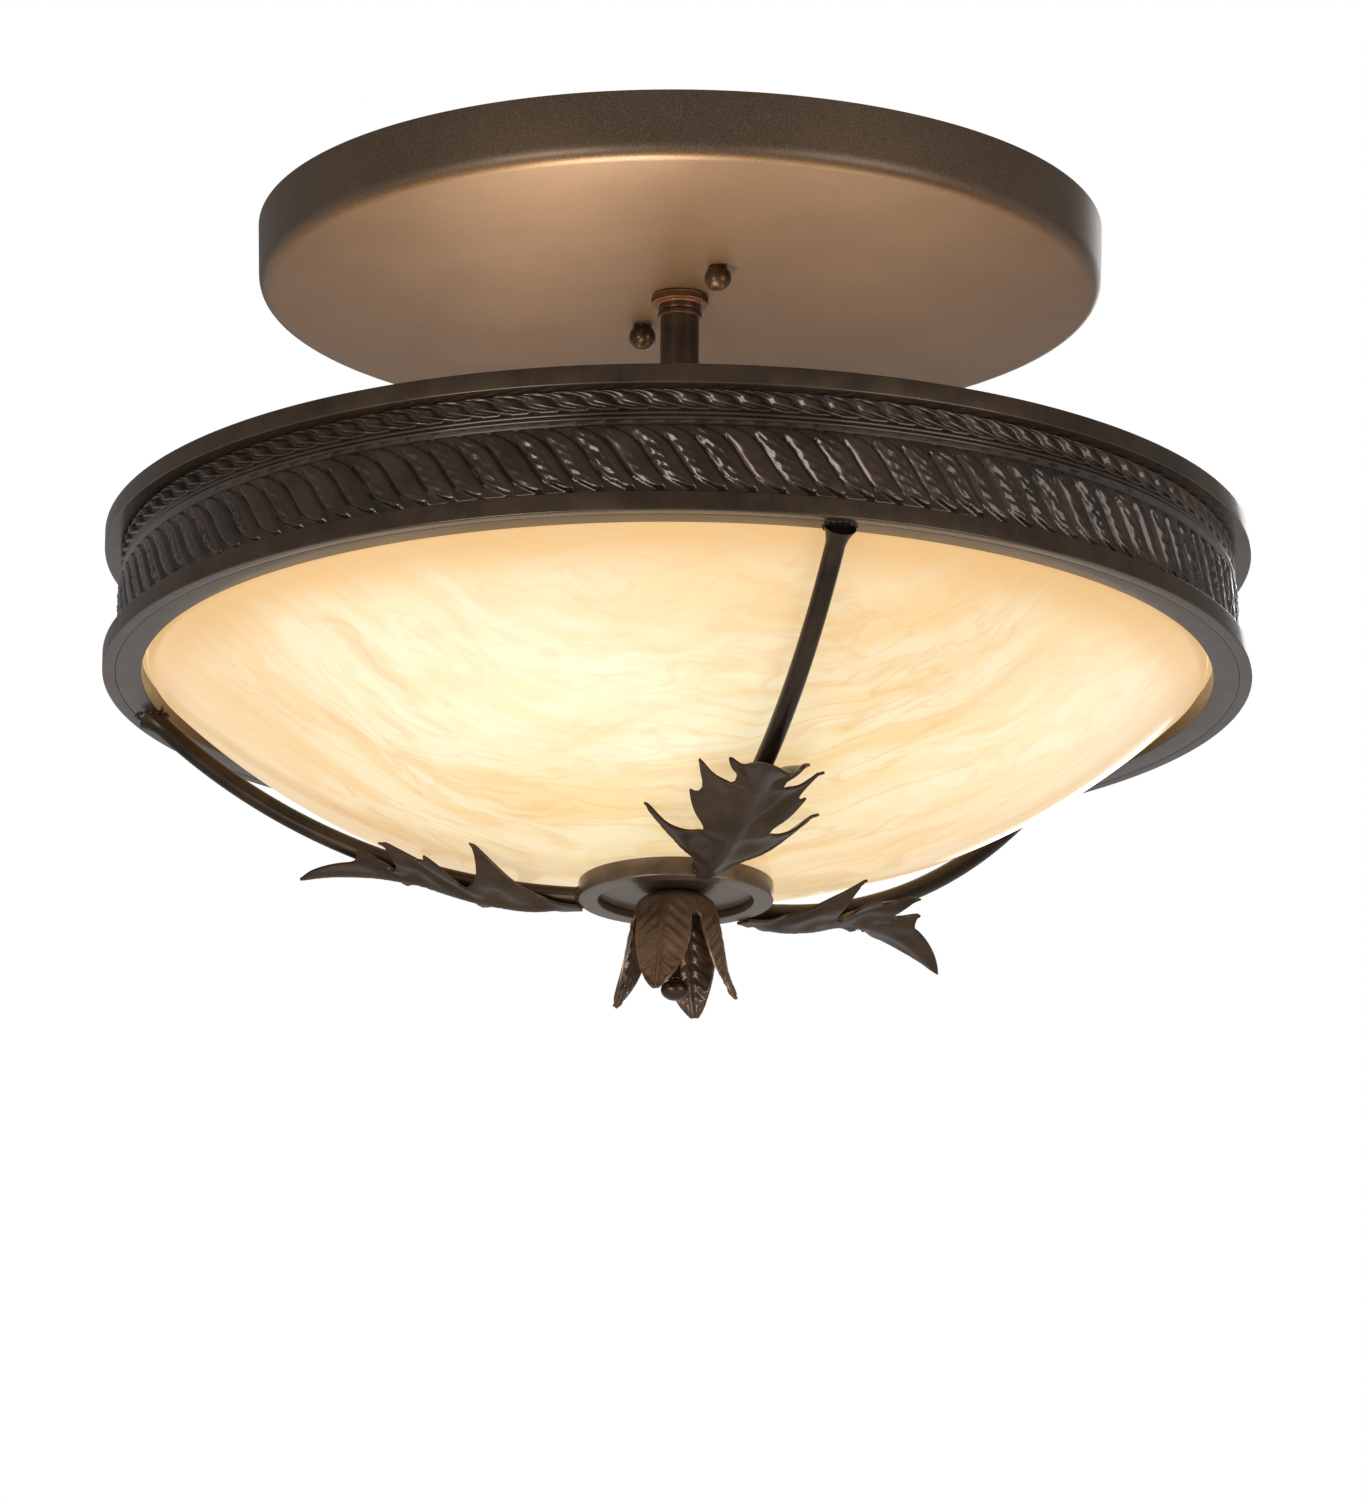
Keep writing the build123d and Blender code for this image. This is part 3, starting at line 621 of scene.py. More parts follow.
class Graph(NodeTree):
    """A material's nodes round one Principled shader."""

    def __init__(self, name: str) -> None:
        """Opens an empty material."""
        self.material = bpy.data.materials.new(name)
        self.material.use_nodes = True
        super().__init__(self.material.node_tree)
        self.tree.nodes.clear()
        self.shader = self.add("ShaderNodeBsdfPrincipled")
        self.add("ShaderNodeOutputMaterial", {0: self.shader.outputs[0]})
        self.place = self.add("ShaderNodeTexCoord").outputs["Object"]

    def set(self, **inputs: Value) -> None:
        """Fills the shader's inputs; an underscore in a name stands for a space."""
        self.fill(self.shader, {label.replace("_", " "): value for label, value in inputs.items()})

    def stretched(self, scale: Sequence[float], vector: Optional[Value] = None) -> Socket:
        """Object coordinates stretched along each axis."""
        return self.add("ShaderNodeMapping", {"Vector": vector or self.place, "Scale": scale}).outputs[0]

    def noise(
        self, scale: float, detail: float = 4.0, roughness: float = 0.55,
        vector: Optional[Value] = None, distortion: float = 0.0,
    ) -> Socket:
        """Smooth noise of so many grains to the metre."""
        values = {
            "Vector": vector or self.place, "Scale": scale, "Detail": detail,
            "Roughness": roughness, "Distortion": distortion,
        }
        return self.add("ShaderNodeTexNoise", values).outputs["Fac"]

    def spread(
        self, value: Value, low: float, high: float, to_low: float = 0.0, to_high: float = 1.0
    ) -> Socket:
        """A value moved from one range to another, smooth at both ends."""
        inputs = {"Value": value, "From Min": low, "From Max": high, "To Min": to_low, "To Max": to_high}
        return self.add("ShaderNodeMapRange", inputs, interpolation_type="SMOOTHSTEP").outputs[0]

    def mix(self, factor: Value, first: Value, second: Value, blend: str = "MIX") -> Socket:
        """A mix of two colours."""
        inputs = {0: factor, 6: first, 7: second}
        return self.add("ShaderNodeMix", inputs, data_type="RGBA", blend_type=blend).outputs[2]

    def bump(
        self, height: Value, depth: float, strength: float = 1.0, under: Optional[Value] = None
    ) -> Socket:
        """A normal from a height of so many millimetres."""
        inputs: Inputs = {"Height": height, "Distance": depth * MM, "Strength": strength}
        if under is not None:
            inputs["Normal"] = under
        return self.add("ShaderNodeBump", inputs).outputs[0]

    def edges(self, radius: float) -> Socket:
        """1 on edges that bend within so many millimetres, 0 on flats."""
        soft = self.add("ShaderNodeBevel", {"Radius": radius * MM}, samples=6).outputs[0]
        hard = self.add("ShaderNodeNewGeometry").outputs["Normal"]
        likeness = self.vector_math("DOT_PRODUCT", {0: soft, 1: hard}).outputs["Value"]
        return self.spread(likeness, 0.985, 0.86)

    def vector_math(self, operation: str, inputs: Inputs) -> bpy.types.Node:
        """A node that works on vectors."""
        return self.add("ShaderNodeVectorMath", inputs, operation=operation)


@dataclass(frozen=True)
class Finish:
    """A finish, made into a material once."""

    name: str

    def material(self) -> bpy.types.Material:
        """The finish's material."""
        found = bpy.data.materials.get(self.name)
        if found:
            return found
        graph = Graph(self.name)
        self.dress(graph)
        return graph.material

    def dress(self, graph: Graph) -> None:
        """Builds the finish's nodes."""
        raise NotImplementedError


@dataclass(frozen=True)
class RubbedBronze(Finish):
    """Dark bronze patina over brown metal, rubbed through where hands and cloths reach.

    Attributes:
        dark: colour of the patina.
        warm: colour where it is thin.
        bright: colour of rubbed edges.
        rough: mean roughness.
        shine: specular level.
        lacquer: weight of the clear coat.
        metal: how metallic it is.
        brushed: depth of upright brush lines, in millimetres.
        edge: width of rubbed edges, in millimetres, or 0.
        rub: how far the edges turn bright.
    """

    dark: Colour = tint(56, 43, 32)
    warm: Colour = tint(80, 62, 45)
    bright: Colour = tint(140, 92, 58)
    rough: float = 0.42
    shine: float = 0.35
    lacquer: float = 0.0
    metal: float = 0.7
    brushed: float = 0.0
    edge: float = 0.0
    rub: float = 0.5

    def dress(self, graph: Graph) -> None:
        """Mottled patina, fine grain, brush lines and rubbed edges."""
        cloud = graph.noise(45.0, 5.0, 0.6)
        grain = graph.noise(2400.0, 2.0, 0.5)
        patch = graph.plus(graph.times(cloud, 0.75), graph.times(grain, 0.25))
        colour = graph.mix(graph.spread(patch, 0.32, 0.68), self.dark, self.warm)
        if self.edge:
            reached = graph.spread(cloud, 0.3, 0.6, self.rub / 2, self.rub)
            worn = graph.times(graph.edges(self.edge), reached)
            colour = graph.mix(worn, colour, self.bright)
        rough = graph.spread(patch, 0.3, 0.7, self.rough - 0.07, self.rough + 0.07)
        normal = graph.bump(grain, 0.012)
        if self.brushed:
            lines = graph.noise(900.0, 3.0, 0.6, graph.stretched((1.0, 1.0, 0.03)))
            normal = graph.bump(lines, self.brushed, under=normal)
            colour = graph.mix(graph.spread(lines, 0.35, 0.65, 0.0, 0.35), colour, self.warm)
        graph.set(
            Base_Color=colour, Roughness=rough, Normal=normal, Metallic=self.metal,
            Specular_IOR_Level=self.shine, Coat_Weight=self.lacquer, Coat_Roughness=0.12,
        )


@dataclass(frozen=True)
class MicaPaint(Finish):
    """Baked bronze paint with a faint grain of fine flakes."""

    base: Colour = tint(98, 79, 62)
    flake: Colour = tint(138, 115, 91)
    shade: Colour = tint(76, 60, 46)

    def dress(self, graph: Graph) -> None:
        """Soft clouds, flakes of a third of a millimetre and a little orange peel."""
        cloud = graph.noise(14.0, 4.0, 0.55)
        cells = graph.add("ShaderNodeTexVoronoi", {"Vector": graph.place, "Scale": 3000.0})
        lucky = graph.add("ShaderNodeSeparateColor", {0: cells.outputs["Color"]}).outputs[0]
        grain = graph.noise(1150.0, 3.0, 0.65)
        peel = graph.noise(420.0, 3.0, 0.6)
        colour = graph.mix(graph.spread(cloud, 0.3, 0.7, 0.35, 0.8), self.shade, self.base)
        colour = graph.mix(graph.spread(grain, 0.42, 0.68, 0.0, 0.34), colour, self.flake)
        colour = graph.mix(graph.spread(lucky, 0.7, 1.0, 0.0, 0.28), colour, self.flake)
        graph.set(
            Base_Color=colour, Roughness=graph.spread(grain, 0.3, 0.7, 0.42, 0.52), Metallic=0.75,
            Normal=graph.bump(peel, 0.018, 0.6, graph.bump(grain, 0.006, 0.6)),
            Specular_IOR_Level=0.4, Coat_Weight=0.12, Coat_Roughness=0.25,
        )


@dataclass(frozen=True)
class PlatedMetal(Finish):
    """Plated, turned or drawn metal: zinc, brass or aluminium."""

    colour: Colour = tint(196, 194, 184)
    haze: Colour = tint(150, 150, 146)
    rough: float = 0.32

    def dress(self, graph: Graph) -> None:
        """Cloudy plating with fine drawing lines."""
        cloud = graph.noise(160.0, 4.0, 0.6)
        lines = graph.noise(1500.0, 2.0, 0.5, graph.stretched((1.0, 1.0, 0.08)))
        colour = graph.mix(graph.spread(cloud, 0.3, 0.7), self.colour, self.haze)
        rough = graph.spread(cloud, 0.3, 0.7, self.rough - 0.08, self.rough + 0.1)
        graph.set(Base_Color=colour, Roughness=rough, Metallic=1.0, Normal=graph.bump(lines, 0.01))


@dataclass(frozen=True)
class Moulded(Finish):
    """Moulded plastic, rubber or enamel."""

    colour: Colour = tint(30, 28, 26)
    light: Colour = tint(48, 45, 42)
    rough: float = 0.45
    texture: float = 0.02

    def dress(self, graph: Graph) -> None:
        """Faint clouding and a fine moulded skin."""
        cloud = graph.noise(220.0, 3.0, 0.5)
        skin = graph.noise(1800.0, 2.0, 0.5)
        graph.set(
            Base_Color=graph.mix(graph.spread(cloud, 0.3, 0.7), self.colour, self.light),
            Roughness=graph.spread(cloud, 0.3, 0.7, self.rough - 0.06, self.rough + 0.08),
            Normal=graph.bump(skin, self.texture),
        )


@dataclass(frozen=True)
class FrostedLamp(Finish):
    """The frosted glass of a lit lamp, brightest at its belly."""

    glow: Colour = tint(255, 226, 172)
    hot: Colour = tint(255, 247, 226)
    strength: float = 2.6

    def dress(self, graph: Graph) -> None:
        """Soft frosting with a warm glow."""
        frost = graph.noise(900.0, 3.0, 0.6)
        facing = graph.add("ShaderNodeLayerWeight", {"Blend": 0.35}).outputs["Facing"]
        colour = graph.mix(graph.spread(facing, 0.1, 0.9), self.hot, self.glow)
        graph.set(
            Base_Color=tint(240, 236, 226), Roughness=0.5, Normal=graph.bump(frost, 0.02),
            Emission_Color=colour, Emission_Strength=self.strength,
        )


@dataclass(frozen=True)
class MarbledGlass(Finish):
    """Honey and cream glass with drawn-out swirls, whose light from the lamps inside is painted as its own
    glow.

    Attributes:
        cream: colour of the clear drifts.
        honey: colour of the streaks.
        amber: colour of the deep deposits.
        peach: colour near the rim.
        hot: colour of the painted glow over the lamps.
        painted_rim_shade: painted shade, a darker amber near the top, where the rest ring shades the lip.
        bend: how much the streaks curve, per metre.
        swing: how far the slow noise stirs them, in metres.
        painted_glows: (x, y, z, reach, weight) of each painted pool of lamp light, in metres.
    """

    cream: Colour = tint(255, 238, 196)
    honey: Colour = tint(252, 216, 150)
    amber: Colour = tint(238, 180, 104)
    peach: Colour = tint(250, 214, 168)
    hot: Colour = tint(255, 252, 226)
    painted_rim_shade: Colour = tint(238, 190, 126)
    bend: float = 0.6
    swing: float = 0.10
    painted_glows: tuple[tuple[float, float, float, float, float], ...] = (
        (-0.035, -0.165, -0.275, 0.130, 0.62),
        (-0.130, -0.145, -0.262, 0.120, 0.50),
        (0.175, -0.075, -0.265, 0.120, 0.60),
        (-0.080, 0.130, -0.290, 0.110, 0.25),
    )

    def dress(self, graph: Graph) -> None:
        """Streaks along X, bent and stirred, with painted pools of lamp light over the lamps."""
        x, y, z = graph.add("ShaderNodeSeparateXYZ", {0: graph.place}).outputs
        stirred = self.stirred(graph, x, y, z)
        drawn = graph.stretched((1.0, 4.6, 2.2), stirred)
        fine = graph.noise(17.0, 4.0, 0.56, drawn, 0.7)
        reach = graph.math("SQRT", graph.plus(graph.times(x, x), graph.times(y, y)))
        glow = self.glow(graph)

        colour = self.streaks(graph, drawn, fine)
        colour = graph.mix(graph.times(graph.spread(reach, 0.13, 0.262), 0.5), colour, self.peach)
        colour = graph.mix(self.deposits(graph, stirred, fine, reach), colour, self.amber)
        # Painted light: the streaks turn to the hot colour in the pools over the lamps.
        lit = graph.times(glow, graph.spread(fine, 0.30, 0.62, 0.95, 0.55))
        colour = graph.mix(lit, colour, self.hot)
        # Painted shade: darker amber near the top of the bowl, under the rest ring.
        colour = graph.mix(graph.spread(z, -0.250, -0.232, 0.0, 0.8), colour, self.painted_rim_shade)
        grazing = graph.add("ShaderNodeLayerWeight", {"Blend": 0.5}).outputs["Facing"]
        colour = graph.mix(graph.spread(grazing, 0.45, 0.95, 0.0, 0.6), colour, self.peach)

        # Painted light: the glass glows by emission, brighter over the lamps, as if lit from inside.
        level = graph.plus(graph.times(glow, 0.22), 0.74)
        painted_glow_level = graph.add("ShaderNodeCombineColor", {0: level, 1: level, 2: level}).outputs[0]
        ripple = graph.noise(26.0, 3.0, 0.5, graph.stretched((1.0, 2.0, 1.0), stirred))
        graph.set(
            Base_Color=graph.mix(0.75, colour, (0.0, 0.0, 0.0, 1.0)), Roughness=0.16,
            Normal=graph.bump(ripple, 0.25, 0.4), Specular_IOR_Level=0.35,
            Emission_Color=graph.mix(1.0, colour, painted_glow_level, "MULTIPLY"), Emission_Strength=1.0,
        )

    def stirred(self, graph: Graph, x: Value, y: Value, z: Value) -> Socket:
        """Coordinates whose Y bends along X and which swing with a slow noise."""
        across = graph.plus(y, graph.times(graph.times(x, x), self.bend))
        bent = graph.add("ShaderNodeCombineXYZ", {"X": x, "Y": across, "Z": z}).outputs[0]
        slow = graph.add("ShaderNodeTexNoise", {"Vector": bent, "Scale": 6.5, "Detail": 3.0})
        swing = graph.vector_math("SUBTRACT", {0: slow.outputs["Color"], 1: (0.5, 0.5, 0.5)}).outputs[0]
        swing = graph.vector_math("SCALE", {0: swing, 3: self.swing}).outputs[0]
        return graph.vector_math("ADD", {0: bent, 1: swing}).outputs[0]

    def streaks(self, graph: Graph, drawn: Value, fine: Value) -> Socket:
        """Cream with wide and fine honey streaks and thin amber veins."""
        wide = graph.noise(7.0, 5.0, 0.55, drawn, 0.5)
        vein = graph.math("SUBTRACT", graph.noise(10.0, 3.5, 0.5, drawn, 1.2), 0.5)
        vein = graph.math("ABSOLUTE", vein)
        colour = graph.mix(graph.spread(wide, 0.36, 0.66), self.cream, self.honey)
        colour = graph.mix(graph.spread(fine, 0.50, 0.72, 0.0, 0.7), colour, self.honey)
        return graph.mix(graph.spread(vein, 0.06, 0.0, 0.0, 0.34), colour, self.amber)

    def deposits(self, graph: Graph, stirred: Value, fine: Value, reach: Value) -> Socket:
        """Weight of the deep amber patches, which are stronger further out."""
        deposit = graph.noise(5.0, 4.0, 0.6, graph.stretched((1.0, 1.8, 1.0), stirred), 0.8)
        deep = graph.times(graph.spread(deposit, 0.54, 0.70), graph.spread(fine, 0.38, 0.62, 0.25, 1.0))
        return graph.times(deep, graph.spread(reach, 0.10, 0.22, 0.2, 1.0))

    def glow(self, graph: Graph) -> Socket:
        """Painted light of the lamps on the glass, at most 1."""
        glow: Value = 0.0
        for *middle, size, weight in self.painted_glows:
            away = graph.vector_math("DISTANCE", {0: graph.place, 1: middle}).outputs["Value"]
            glow = graph.plus(glow, graph.spread(away, 0.0, size, weight, 0.0))
        return graph.math("MINIMUM", glow, 1.0)


RING_BRONZE = RubbedBronze("ring_bronze", brushed=0.012, lacquer=0.4, rough=0.38)
# A lighter copy of the ring's bronze: painted light and reflection on the hub under the bowl.
HUB_PAINTED_LIGHT_BRONZE = RubbedBronze(
    "hub_bronze_painted_light", dark=tint(84, 68, 52), warm=tint(116, 96, 76), rough=0.36, lacquer=0.3
)
RELIEF_BRONZE = RubbedBronze(
    "relief_bronze", dark=tint(48, 37, 28), warm=tint(72, 55, 41),
    rough=0.31, lacquer=0.5, shine=0.4, metal=0.6,
)
ARM_BRONZE = RubbedBronze("arm_bronze", dark=tint(42, 33, 25), warm=tint(64, 50, 37), rough=0.36)
LEAF_BRONZE = RubbedBronze(
    "oak_leaf_bronze", dark=tint(54, 41, 29), warm=tint(80, 62, 46), bright=tint(118, 88, 62),
    rough=0.32, shine=0.3, edge=0.6, rub=0.3, metal=0.75,
)
STEM_BRONZE = RubbedBronze(
    "stem_bronze", dark=tint(28, 22, 18), warm=tint(48, 36, 27), rough=0.34, metal=0.4
)
COPPER_EDGED = RubbedBronze(
    "copper_edged_bronze", dark=tint(44, 32, 24), warm=tint(74, 50, 35), bright=tint(206, 138, 92),
    rough=0.30, edge=0.55, rub=0.95, metal=0.7,
)
BALL_BRONZE = RubbedBronze(
    "ball_bronze", dark=tint(40, 30, 22), warm=tint(66, 48, 34), rough=0.24, shine=0.5, metal=0.75
)
FINIAL_BRONZE = RubbedBronze(
    "finial_leaf_bronze", dark=tint(70, 54, 41), warm=tint(112, 85, 61), bright=tint(150, 106, 70),
    rough=0.32, edge=0.8, rub=0.45, metal=0.45, lacquer=0.15,
)
CANOPY_PAINT = MicaPaint("canopy_mica_paint")
ZINC = PlatedMetal("zinc_plating")
BRASS = PlatedMetal("plain_brass", colour=tint(206, 170, 96), haze=tint(160, 122, 62), rough=0.3)
LAMP_METAL = PlatedMetal("lamp_cap_metal", colour=tint(214, 212, 206), haze=tint(178, 176, 172), rough=0.26)
PHENOLIC = Moulded("black_phenolic")
SEAL = Moulded("grey_seal", colour=tint(150, 146, 138), light=tint(176, 172, 164), rough=0.8, texture=0.05)
GREEN_PAINT = Moulded("green_enamel", colour=tint(30, 120, 62), light=tint(46, 146, 80), rough=0.3)
BLACK_INSULATION = Moulded("black_insulation", rough=0.35)
WHITE_INSULATION = Moulded(
    "white_insulation", colour=tint(226, 222, 212), light=tint(240, 238, 230), rough=0.4
)
LAMP_GLASS = FrostedLamp("frosted_lamp_glass")
BOWL_GLASS = MarbledGlass("marbled_bowl_glass")


def keep_node(node: str, finish: Finish) -> None:
    """Gives a CAD node that keeps its own shape a finish."""
    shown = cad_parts[node]
    if not shown.material_slots:
        shown.data.materials.append(finish.material())
    for slot in shown.material_slots:
        slot.material = finish.material()
    log.info("%s keeps its shape in %s", node, finish.name)


def fit(piece: Piece, body: Body, slot: Slot, *nodes: str) -> Piece:
    """Fixes a finished piece to its body and hides the CAD nodes that it stands for."""
    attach(piece, body.value)
    if nodes:
        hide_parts(*nodes)
    log.info("%s rides on %s, %d faces", piece.name, body.value, len(piece.data.polygons))
    return piece


def fit_turned(
    name: str, outline: Sequence[Point], segments: int, finish: Finish, body: Body, slot: Slot, node: str
) -> None:
    """Turns an outline round the light's axis, finishes it and fits it over its CAD node."""
    fit(painted(lathe(name, outline, segments), finish), body, slot, node)


def bored(piece: Piece, drill: Piece) -> Piece:
    """Cuts a drill's shape out of a piece and uses the drill up."""
    cut = piece.modifiers.new("holes", "BOOLEAN")
    cut.object = drill
    cut.solver = "EXACT"
    applied(piece)
    bpy.data.objects.remove(drill)
    return closed_up(piece, turn_out=False)


def hex_nut(name: str, flats: float, foot: float, height: float, bore: float) -> Piece:
    """A chamfered hex nut standing on a level, on the Z axis."""
    side = flats / 2
    corner = side / cos(pi / 6)
    shoulder = side * 1.03
    chamfer = 0.12 * height

    def flat_sided(radius: float, angle: float) -> float:
        """The radius, cut off at the six flats."""
        off = (angle + pi / 6) % (pi / 3) - pi / 6
        return min(radius, side / cos(off)) if radius > bore else radius

    outline = [
        (bore, foot), (shoulder, foot), (corner, foot + chamfer),
        (corner, foot + height - chamfer), (shoulder, foot + height), (bore, foot + height),
    ]
    return lathe(name, outline, 72, flat_sided)


# Sub-assemblies


@dataclass
class Canopy:
    """The drawn pan against the ceiling, with its two ball nuts and the ring that lifts its middle."""

    shop: Shop
    draft: float = 0.8
    sheet: float = 1.2
    corner: float = 8.0
    middle_hole: float = 12.1
    stud_hole: float = 2.58
    hole_top: float = -1.0
    nut_radius: float = 6.6
    nut_collar: float = 4.6
    nut_bore: float = 2.16
    bore_depth: float = 9.0
    knurl_count: int = 84
    knurl_depth: float = 0.3
    ring_bore: float = 11.68
    ring_chamfer: float = 0.7

    def pan(self) -> None:
        """The pan with its rounded foot, its middle hole and its two stud holes."""
        room = Room.of("canopy_pan")
        foot_reach = room.reach - self.draft
        floor_top = room.foot + self.sheet
        outline = rounded(
            (self.middle_hole, room.foot), (foot_reach * 0.6, room.foot),
            (foot_reach, room.foot, self.corner), (room.reach, room.top, 0.4),
            (room.reach - self.sheet, room.top, 0.4),
            (foot_reach - self.sheet, floor_top, self.corner - self.sheet),
            (foot_reach * 0.6, floor_top), (self.middle_hole, floor_top), steps=8,
        )
        pan = lathe("canopy_pan_drawn", outline, 320)
        start = 2 * room.foot
        bore = rounded(
            (0, start), (self.stud_hole, start), (self.stud_hole, self.hole_top), (0, self.hole_top)
        )
        for _, place in at_studs():
            bored(pan, moved(lathe("drill", bore, 32), place))
        painted(pan, CANOPY_PAINT)
        fit(pan, Body.CANOPY, Slot.CANOPY, "canopy_pan")

    def ball_nut(self, side: str, place: Matrix) -> None:
        """One ball nut: a turned flange, a short neck and a polished ball."""
        node = f"ball_nut_{side}"
        room = Room.of(node)
        centre = room.foot + self.nut_radius
        bore_end = room.top - self.bore_depth
        outline = [
            (self.nut_bore, room.top), (self.nut_collar - 0.2, room.top),
            (self.nut_collar, room.top - 0.25), (self.nut_collar, room.top - 0.75),
            (self.nut_collar - 0.35, room.top - 1.05),
            *arc((0, centre), self.nut_radius, 50, -90, 22),
            (0, bore_end), (self.nut_bore, bore_end),
        ]
        nut = lathe(f"{node}_turned", outline, 64)
        moved(nut, place)
        painted(nut, BALL_BRONZE)
        fit(nut, Body[node.upper()], Slot.BRONZE, node)

    def lock_ring(self) -> None:
        """The knurled ring, one tooth to a slice."""
        room = Room.of("lock_ring")
        outer = room.reach
        step = self.ring_chamfer

        def tooth(share: float) -> list[Point]:
            """The ring's section at a share of one tooth."""
            crest = outer - self.knurl_depth * (0.5 + 0.5 * cos(2 * pi * share))
            return [
                (self.ring_bore, room.foot), (outer - step, room.foot),
                (outer - 0.2, room.foot + step / 2), (outer - 0.1, room.foot + step),
                (crest, room.foot + 1.6 * step), (crest, room.top - 1.6 * step),
                (outer - 0.1, room.top - step), (outer - step, room.top), (self.ring_bore, room.top),
            ]

        module = sector("knurl", tooth, 360 / self.knurl_count, 6)
        ring = self.shop.ringed(module, "lock_ring_knurled", self.knurl_count, COPPER_EDGED)
        fit(ring, Body.LOCK_RING, Slot.COPPER, "lock_ring")

    def build(self) -> None:
        """Builds the canopy's pieces."""
        self.pan()
        for side, place in at_studs():
            self.ball_nut(side, place)
        self.lock_ring()


@dataclass
class Hangings:
    """What carries the light from the ceiling: bars, nipple, studs, neck, stem, cluster and rod."""

    shop: Shop
    pipe_radius: float = 5.1
    pipe_flats: float = 15.0
    pipe_nut_height: float = 4.0
    stud_radius: float = 2.08
    stud_flats: float = 8.7
    stud_nut_height: float = 3.2
    stem_radius: float = 9.525
    stem_wall: float = 1.3
    neck_thread: float = 11.6
    rod_thread: float = 0.5
    cluster_wall: float = 2.5

    def plain_parts(self) -> None:
        """The pressed bars, the studs, the nipple, the earth screw and the wires keep their CAD shape."""
        for node in ("ceiling_bar", "stud_bar", "canopy_studs", "hanger_nipple"):
            keep_node(node, ZINC)
        keep_node("ground_screw", GREEN_PAINT)
        keep_node("live_wire", BLACK_INSULATION)
        keep_node("neutral_wire", WHITE_INSULATION)
        keep_node("lamp_leads", WHITE_INSULATION)

    def nuts(self) -> None:
        """Hex nuts on the nipple, the rod and the studs."""
        height = self.pipe_nut_height
        for node in ("nipple_nuts", "rod_nuts"):
            room = Room.of(node)
            for end, foot in (("upper", room.top - height), ("lower", room.foot)):
                nut = hex_nut(f"{node}_{end}", self.pipe_flats, foot, height, self.pipe_radius)
                fit(painted(nut, ZINC), Body.CEILING_SIDE, Slot.ZINC, node)
        foot = Room.of("stud_nuts").foot
        for side, place in at_studs():
            nut = hex_nut(f"stud_nut_{side}", self.stud_flats, foot, self.stud_nut_height, self.stud_radius)
            moved(nut, place)
            fit(painted(nut, ZINC), Body.CEILING_SIDE, Slot.ZINC, "stud_nuts")

    def threads(self) -> None:
        """Ridges of thread on the studs and the rod."""
        top = Room.of("stud_nuts").foot
        tip = Room.of("canopy_studs").foot
        for side, place in at_studs():
            ridge = self.shop.thread(
                f"stud_thread_{side}", self.stud_radius - 0.25, 0.28, 0.8, tip, top, ZINC
            )
            moved(ridge, place)
            fit(ridge, Body.CEILING_SIDE, Slot.ZINC)
        rod = Room.of("centre_rod")
        core = self.pipe_radius - self.rod_thread
        outline = rounded((0, rod.foot), (core, rod.foot, 0.6), (core, rod.top, 0.6), (0, rod.top))
        fit_turned("centre_rod_core", outline, 48, ZINC, Body.CEILING_SIDE, Slot.ZINC, "centre_rod")
        ridge = self.shop.thread(
            "centre_rod_thread", core, self.rod_thread, 1.5, rod.foot + 0.6, rod.top - 0.6, ZINC
        )
        fit(ridge, Body.CEILING_SIDE, Slot.ZINC, "centre_rod")

    def stem(self) -> None:
        """The turned neck with its thread and the tube below it."""
        room = Room.of("stem_neck")
        tube = Room.of("stem_tube")
        shoulder = room.foot + 6.5
        lip = room.foot + 2.6
        core = self.neck_thread - 0.45
        outline = rounded(
            (self.stem_radius, room.foot), (11.0, room.foot, 0.9), (11.0, lip, 0.9), (10.1, lip + 0.5, 0.3),
            (10.5, lip + 1.4, 0.4), (10.6, shoulder), (core, shoulder, 0.1), (core, room.top, 0.4),
            (self.pipe_radius, room.top), (self.pipe_radius, tube.top + 0.2),
            (self.stem_radius, tube.top + 0.2),
        )
        fit_turned(
            "stem_neck_turned", outline, 96, COPPER_EDGED, Body.CEILING_SIDE, Slot.COPPER, "stem_neck"
        )
        ridge = self.shop.thread("stem_neck_thread", core, 0.45, 1.1, shoulder, room.top, COPPER_EDGED)
        fit(ridge, Body.CEILING_SIDE, Slot.COPPER, "stem_neck")
        inner = self.stem_radius - self.stem_wall
        outline = rounded(
            (inner, tube.foot, 0.3), (self.stem_radius, tube.foot, 0.4),
            (self.stem_radius, tube.top, 0.3), (inner, tube.top, 0.3),
        )
        fit_turned("stem_tube_drawn", outline, 96, STEM_BRONZE, Body.CEILING_SIDE, Slot.BRONZE, "stem_tube")

    def cluster(self) -> None:
        """The turned cup and its cap."""
        room = Room.of("cluster_body")
        wall = self.cluster_wall
        outline = rounded(
            (self.stem_radius, room.top), (room.reach - 9, room.top, 0.5),
            (room.reach - 8, room.top - 1.2, 0.5), (room.reach - 0.6, room.top - 1.2, 3.0),
            (room.reach - 0.6, room.foot + 4.6, 0.3), (room.reach, room.foot + 4.0, 0.3),
            (room.reach, room.foot, 0.4), (room.reach - wall, room.foot),
            (room.reach - wall, room.top - wall - 1.2, 1.5), (self.stem_radius, room.top - wall),
        )
        fit_turned(
            "cluster_cup_turned", outline, 96, STEM_BRONZE, Body.CEILING_SIDE, Slot.BRONZE, "cluster_body"
        )
        cap = Room.of("cluster_cap")
        outline = rounded(
            (self.pipe_radius, cap.foot), (cap.reach - 10, cap.foot, 0.4),
            (cap.reach - 8.5, cap.foot + 0.8, 0.4), (cap.reach - 1, cap.foot + 0.8, 0.6),
            (cap.reach, cap.top, 0.3), (self.pipe_radius, cap.top),
        )
        fit_turned(
            "cluster_cap_turned", outline, 96, STEM_BRONZE, Body.CEILING_SIDE, Slot.BRONZE, "cluster_cap"
        )

    def build(self) -> None:
        """Builds what hangs the light."""
        self.plain_parts()
        self.nuts()
        self.threads()
        self.stem()
        self.cluster()


